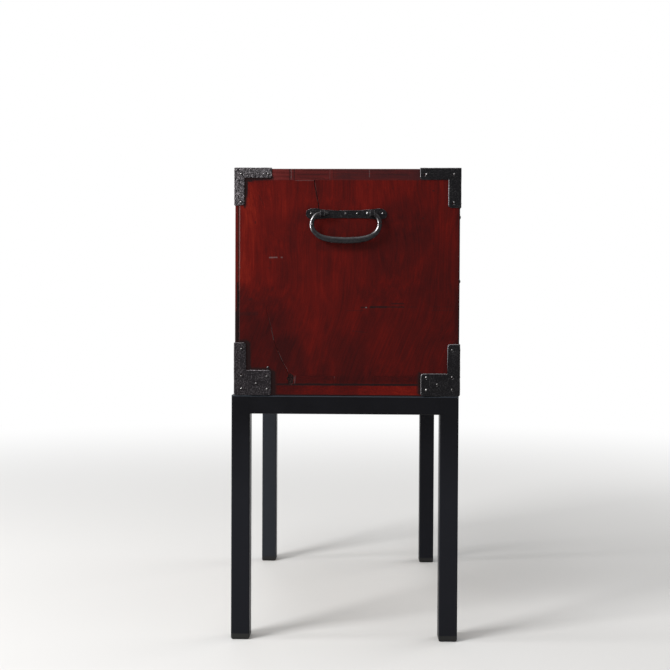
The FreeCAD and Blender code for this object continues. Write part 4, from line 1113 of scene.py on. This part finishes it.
# %% Handle plates
PLATE_OUTLINE = (
    (55.4, 0.0), (54.6, 3.6), (51.0, 6.6), (45.0, 7.2), (39.0, 6.9), (33.5, 5.2), (16.6, 4.3),
    (-3.4, 4.2), (-20.7, 4.5), (-27.5, 5.3), (-36.0, 6.4), (-45.0, 7.0), (-50.6, 4.6),
    (-53.4, 0.2), (-52.0, -4.8), (-46.6, -7.2), (-38.0, -7.0), (-28.0, -5.9), (-3.5, -5.4),
    (16.4, -5.5), (33.8, -6.2), (44.0, -7.2), (51.7, -6.2), (54.8, -3.4))
HANDLE_Z, PLATE_THICK = 573.0, 1.5


def handle_plate(side):
    """The plate as a flat closed curve given a thickness and a rounded rim, then hammered."""
    curve = bpy.data.curves.new("outline", "CURVE")
    curve.dimensions = "2D"
    curve.fill_mode = "BOTH"
    curve.extrude = PLATE_THICK / 2 - 0.3
    curve.bevel_depth = 0.3
    curve.bevel_resolution = 1
    add_spline(curve, [(y, z, 0.0) for y, z in PLATE_OUTLINE], 3, 6).use_cyclic_u = True
    shape = shape_of(curve)
    rim = shape.faces.layers.float.new("arris")
    for face in shape.faces:
        face[rim] = 0.0 if abs(face.normal.z) > 0.9 else 1.0
    bmesh.ops.dissolve_limit(shape, angle_limit=math.radians(1.0), verts=shape.verts,
                             edges=shape.edges)
    outward = -1.0 if side == "left" else 1.0
    place = Matrix(((0.0, 0.0, outward, outward * (CASE_X + PLATE_THICK / 2)),
                    (1.0, 0.0, 0.0, MIDDLE_Y), (0.0, 1.0, 0.0, HANDLE_Z), (0.0, 0.0, 0.0, 1.0)))
    bmesh.ops.transform(shape, matrix=place, verts=shape.verts)
    slice_finely(shape, 2.2, "yz")
    bmesh.ops.recalc_face_normals(shape, faces=shape.faces)
    # A painted highlight on the rim where it faces the windows and the ceiling.
    light_edges_facing_lamps(shape)
    hammer(shape, 0.32, 2.6, 5.0 if side == "left" else 25.0)
    hammer(shape, 0.30, 9.0, 15.0 if side == "left" else 35.0)
    return shape


for side in ("left", "right"):
    dress(side + "_handle_plate", "hammered", handle_plate(side), black_iron)
    shape = clean_copy(side + "_handle_posts")
    ease(shape, 0.35)
    hammer(shape, 0.22, 2.6, 40.0)
    dress(side + "_handle_posts", "hammered", shape, black_iron)

# %% Bails
HANDLE_PATH = (
    (24.8, 0.0, 2.1), (29.8, 0.0, 2.15), (34.6, 0.1, 2.15), (39.2, -0.4, 2.2), (43.6, -4.0, 2.5),
    (46.8, -10.0, 2.9), (47.4, -16.0, 3.0), (45.6, -22.4, 3.1), (41.5, -27.2, 3.3),
    (34.8, -32.1, 3.7), (22.8, -34.9, 4.1), (8.2, -35.7, 4.25), (-3.8, -36.0, 4.25),
    (-20.4, -34.5, 4.1), (-29.4, -31.9, 3.8), (-36.6, -27.9, 3.4), (-41.4, -22.0, 3.15),
    (-43.3, -15.4, 3.0), (-42.8, -9.0, 2.9), (-39.8, -3.6, 2.5), (-35.6, -0.3, 2.2),
    (-31.5, 0.0, 2.15), (-25.2, 0.0, 2.1))
PULL_HALF = (
    (20.6, 0.0, 1.75), (24.5, 0.0, 1.8), (29.6, 0.0, 1.85), (33.2, -2.2, 2.05), (34.8, -7.2, 2.3),
    (34.2, -13.0, 2.45), (31.6, -18.6, 2.55), (26.4, -22.6, 2.65), (17.0, -24.6, 2.75),
    (6.0, -25.2, 2.8))
PULL_PATH = PULL_HALF + tuple((-y, z, radius) for y, z, radius in reversed(PULL_HALF))


# Towards the side window, which the bails' painted highlight faces.
TO_WINDOW = Vector((-0.50, 0.83, 0.25)).normalized()


def bail(path, place, flatten, unevenness, seed):
    """A forged bail along a path; place is the matrix that takes the path's plane to the pivot."""
    shape = tube(path, facets=8, order=4)
    bmesh.ops.scale(shape, vec=(flatten, 1.0, 1.0), verts=shape.verts)
    shape.normal_update()
    shift = Vector((seed, 0.0, seed))
    for vert, normal in [(v, v.normal.copy()) for v in shape.verts]:
        flat_side = math.cos(4.0 * math.atan2(normal.x, math.hypot(normal.y, normal.z))) - 1.0
        vert.co += normal * unevenness * (noise.noise(vert.co / 7.0 + shift) + 0.5 * flat_side)
    shape.normal_update()
    # A painted highlight on the side that faces the side window, a weak one on faces turned up, and
    # one on the tips of the pins.
    paint_highlight(shape.verts, TO_WINDOW, 0.72, 0.9)
    mark = shape.verts.layers.float["arris"]
    pin = path[-1][0]
    for vert in shape.verts:
        rise = vert.normal.z
        at_pin = pin - 0.1 < vert.co.y < pin + 1.2 and vert.co.z > -5.0 and rise > -0.2
        vert[mark] = max(vert[mark], 0.09 * rise, -0.03 * rise, 0.7 * at_pin)
    bmesh.ops.transform(shape, matrix=place, verts=shape.verts)
    bmesh.ops.recalc_face_normals(shape, faces=shape.faces)
    return shape


HANDLE_PIVOT_X, PULL_PIVOT_Y, PULL_PIVOT_RISE = 235.2, -153.05, 7.5
for side, outward, seed in (("left", -1.0, 3.0), ("right", 1.0, 31.0)):
    place = Matrix.Translation((outward * HANDLE_PIVOT_X, MIDDLE_Y, HANDLE_Z))
    shape = bail(HANDLE_PATH, place @ Matrix.Diagonal((-outward, 1.0, 1.0, 1.0)), 0.85, 0.06, seed)
    piece = dress(side + "_handle_bail", "forged", shape, bail_iron)
    low, high = Vector(piece.bound_box[0]), Vector(piece.bound_box[6])
    print("it reaches", round(high.z - low.z, 4), "m down")

# %% [markdown]
# Drawer pulls and lock plates
#
# Each drawer has two small bails, on eye posts with round washers, and a round lock plate between
# them. The pulls are the carrying bail made smaller, so they come from the same functions. The lock
# plate gets a raised rim round its edge and its keyhole by insetting its face, and four little
# nails.

# %% Pulls
for tier in TIERS:
    mounts = tier + "_pull_mounts"
    pivot_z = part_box(mounts)[0].z / MM + PULL_PIVOT_RISE
    for number, side in enumerate(("left", "right")):
        name = f"{tier}_{side}_bail"
        low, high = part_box(name)
        centre_x = (low.x + high.x) / 2 / MM
        turn = Matrix(((0.0, 1.0, 0.0, centre_x), (1.0, 0.0, 0.0, PULL_PIVOT_Y),
                       (0.0, 0.0, 1.0, pivot_z), (0.0, 0.0, 0.0, 1.0)))
        shape = bail(PULL_PATH, turn, 0.95, 0.10, 7.0 + 5.0 * number + len(tier))
        dress(name, "forged", shape, bail_iron)
    shape = clean_copy(mounts)
    ease(shape, 0.22)
    hammer(shape, 0.14, 2.4, 60.0)
    dress(mounts, "hammered", shape, black_iron)

# %% Lock plates
NAIL_CIRCLE = 17.2
for tier in TIERS:
    shape = clean_copy(tier + "_lock_plate")
    ease(shape, 0.25)
    fronts = [f for f in shape.faces if f.normal.y < -0.9 and f.calc_area() > 5.0]
    bmesh.ops.inset_region(shape, faces=fronts, thickness=1.3, depth=-0.32, use_even_offset=True)
    slice_finely(shape, 2.6, "xz")
    hammer(shape, 0.12, 3.2, 70.0 + len(tier))
    low, high = extent(shape.verts)
    centre = (low + high) / 2
    for turn in map(math.radians, (45.0, 135.0, 225.0, 315.0)):
        spot = Vector((centre.x + NAIL_CIRCLE * math.cos(turn), low.y + 0.42,
                       centre.z + NAIL_CIRCLE * math.sin(turn)))
        add_nail(shape, 1.25, 0.75, 0.6, spot, Vector((0.0, -1.0, 0.0)), chance.uniform(0.8, 1.0))
    dress(tier + "_lock_plate", "hammered", shape, black_iron)

# %% [markdown]
# The stand
#
# The stand's drawn tubes, glides and screws already have their real rounded corners, so they stay
# as they are and only get their finish. The record's own colours would do, but they are flat.

# %% Stand finishes
STAND_FINISH = {
    "stand_legs": powder_coat, "stand_end_rails": powder_coat, "stand_long_rails": powder_coat,
    "stand_glides": foot_plastic, "stand_screws": bright_zinc}
for name, material in STAND_FINISH.items():
    slots = frame["nodes"][name].material_slots
    for place in slots:
        place.material = material
    print(name, len(slots), "slot(s)")

# %% [markdown]
# Ground welds
#
# Where two rounded tubes meet, a groove is left between them. On the real stand it is filled with
# weld and ground level before the coat goes on, so no line shows. A drawn fillet would do it, but a
# bead laid in each groove and sunk a hair below the face is what the welder does.

# %% Weld the rails to the legs
welds = bmesh.new()
outer = [(side * 226.4, y, True) for side in (-1, 1) for y in (-122.45, 132.05)]
inner = [(side * 203.6, y, True) for side in (-1, 1) for y in (-122.45, 132.05)]
long_rails = [(side * 202.5, y, False) for side in (-1, 1) for y in (-146.3, -123.6, 133.2, 155.9)]
for x, y, along_y in outer + inner + long_rails:
    bead = bmesh.new()
    bmesh.ops.create_cube(bead, size=1.0)
    bmesh.ops.scale(bead, vec=(2.1, 4.4, 24.4) if along_y else (4.4, 2.1, 24.4), verts=bead.verts)
    bmesh.ops.bevel(bead, geom=bead.edges[:], offset=0.5, offset_type="OFFSET", segments=2,
                    profile=0.5, affect="EDGES", clamp_overlap=True, material=-1)
    slice_finely(bead, 3.0, "z")
    bmesh.ops.translate(bead, vec=(x, y, 317.5), verts=bead.verts)
    hammer(bead, 0.05, 4.0, x)
    pour(bead, welds)
bmesh.ops.recalc_face_normals(welds, faces=welds.faces)
print(len(islands(welds)), "beads")
finish("stand_welds", welds, powder_coat, (), "case")

# %% [markdown]
# Sizes, and the end
#
# The box round the dressed chest is printed, in millimetres. The dressed chest may not grow past
# the drawn one.

# %% Write the sizes and finish
low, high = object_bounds()
print("dressed box in mm:", [round(c / MM, 1) for c in low], [round(c / MM, 1) for c in high])
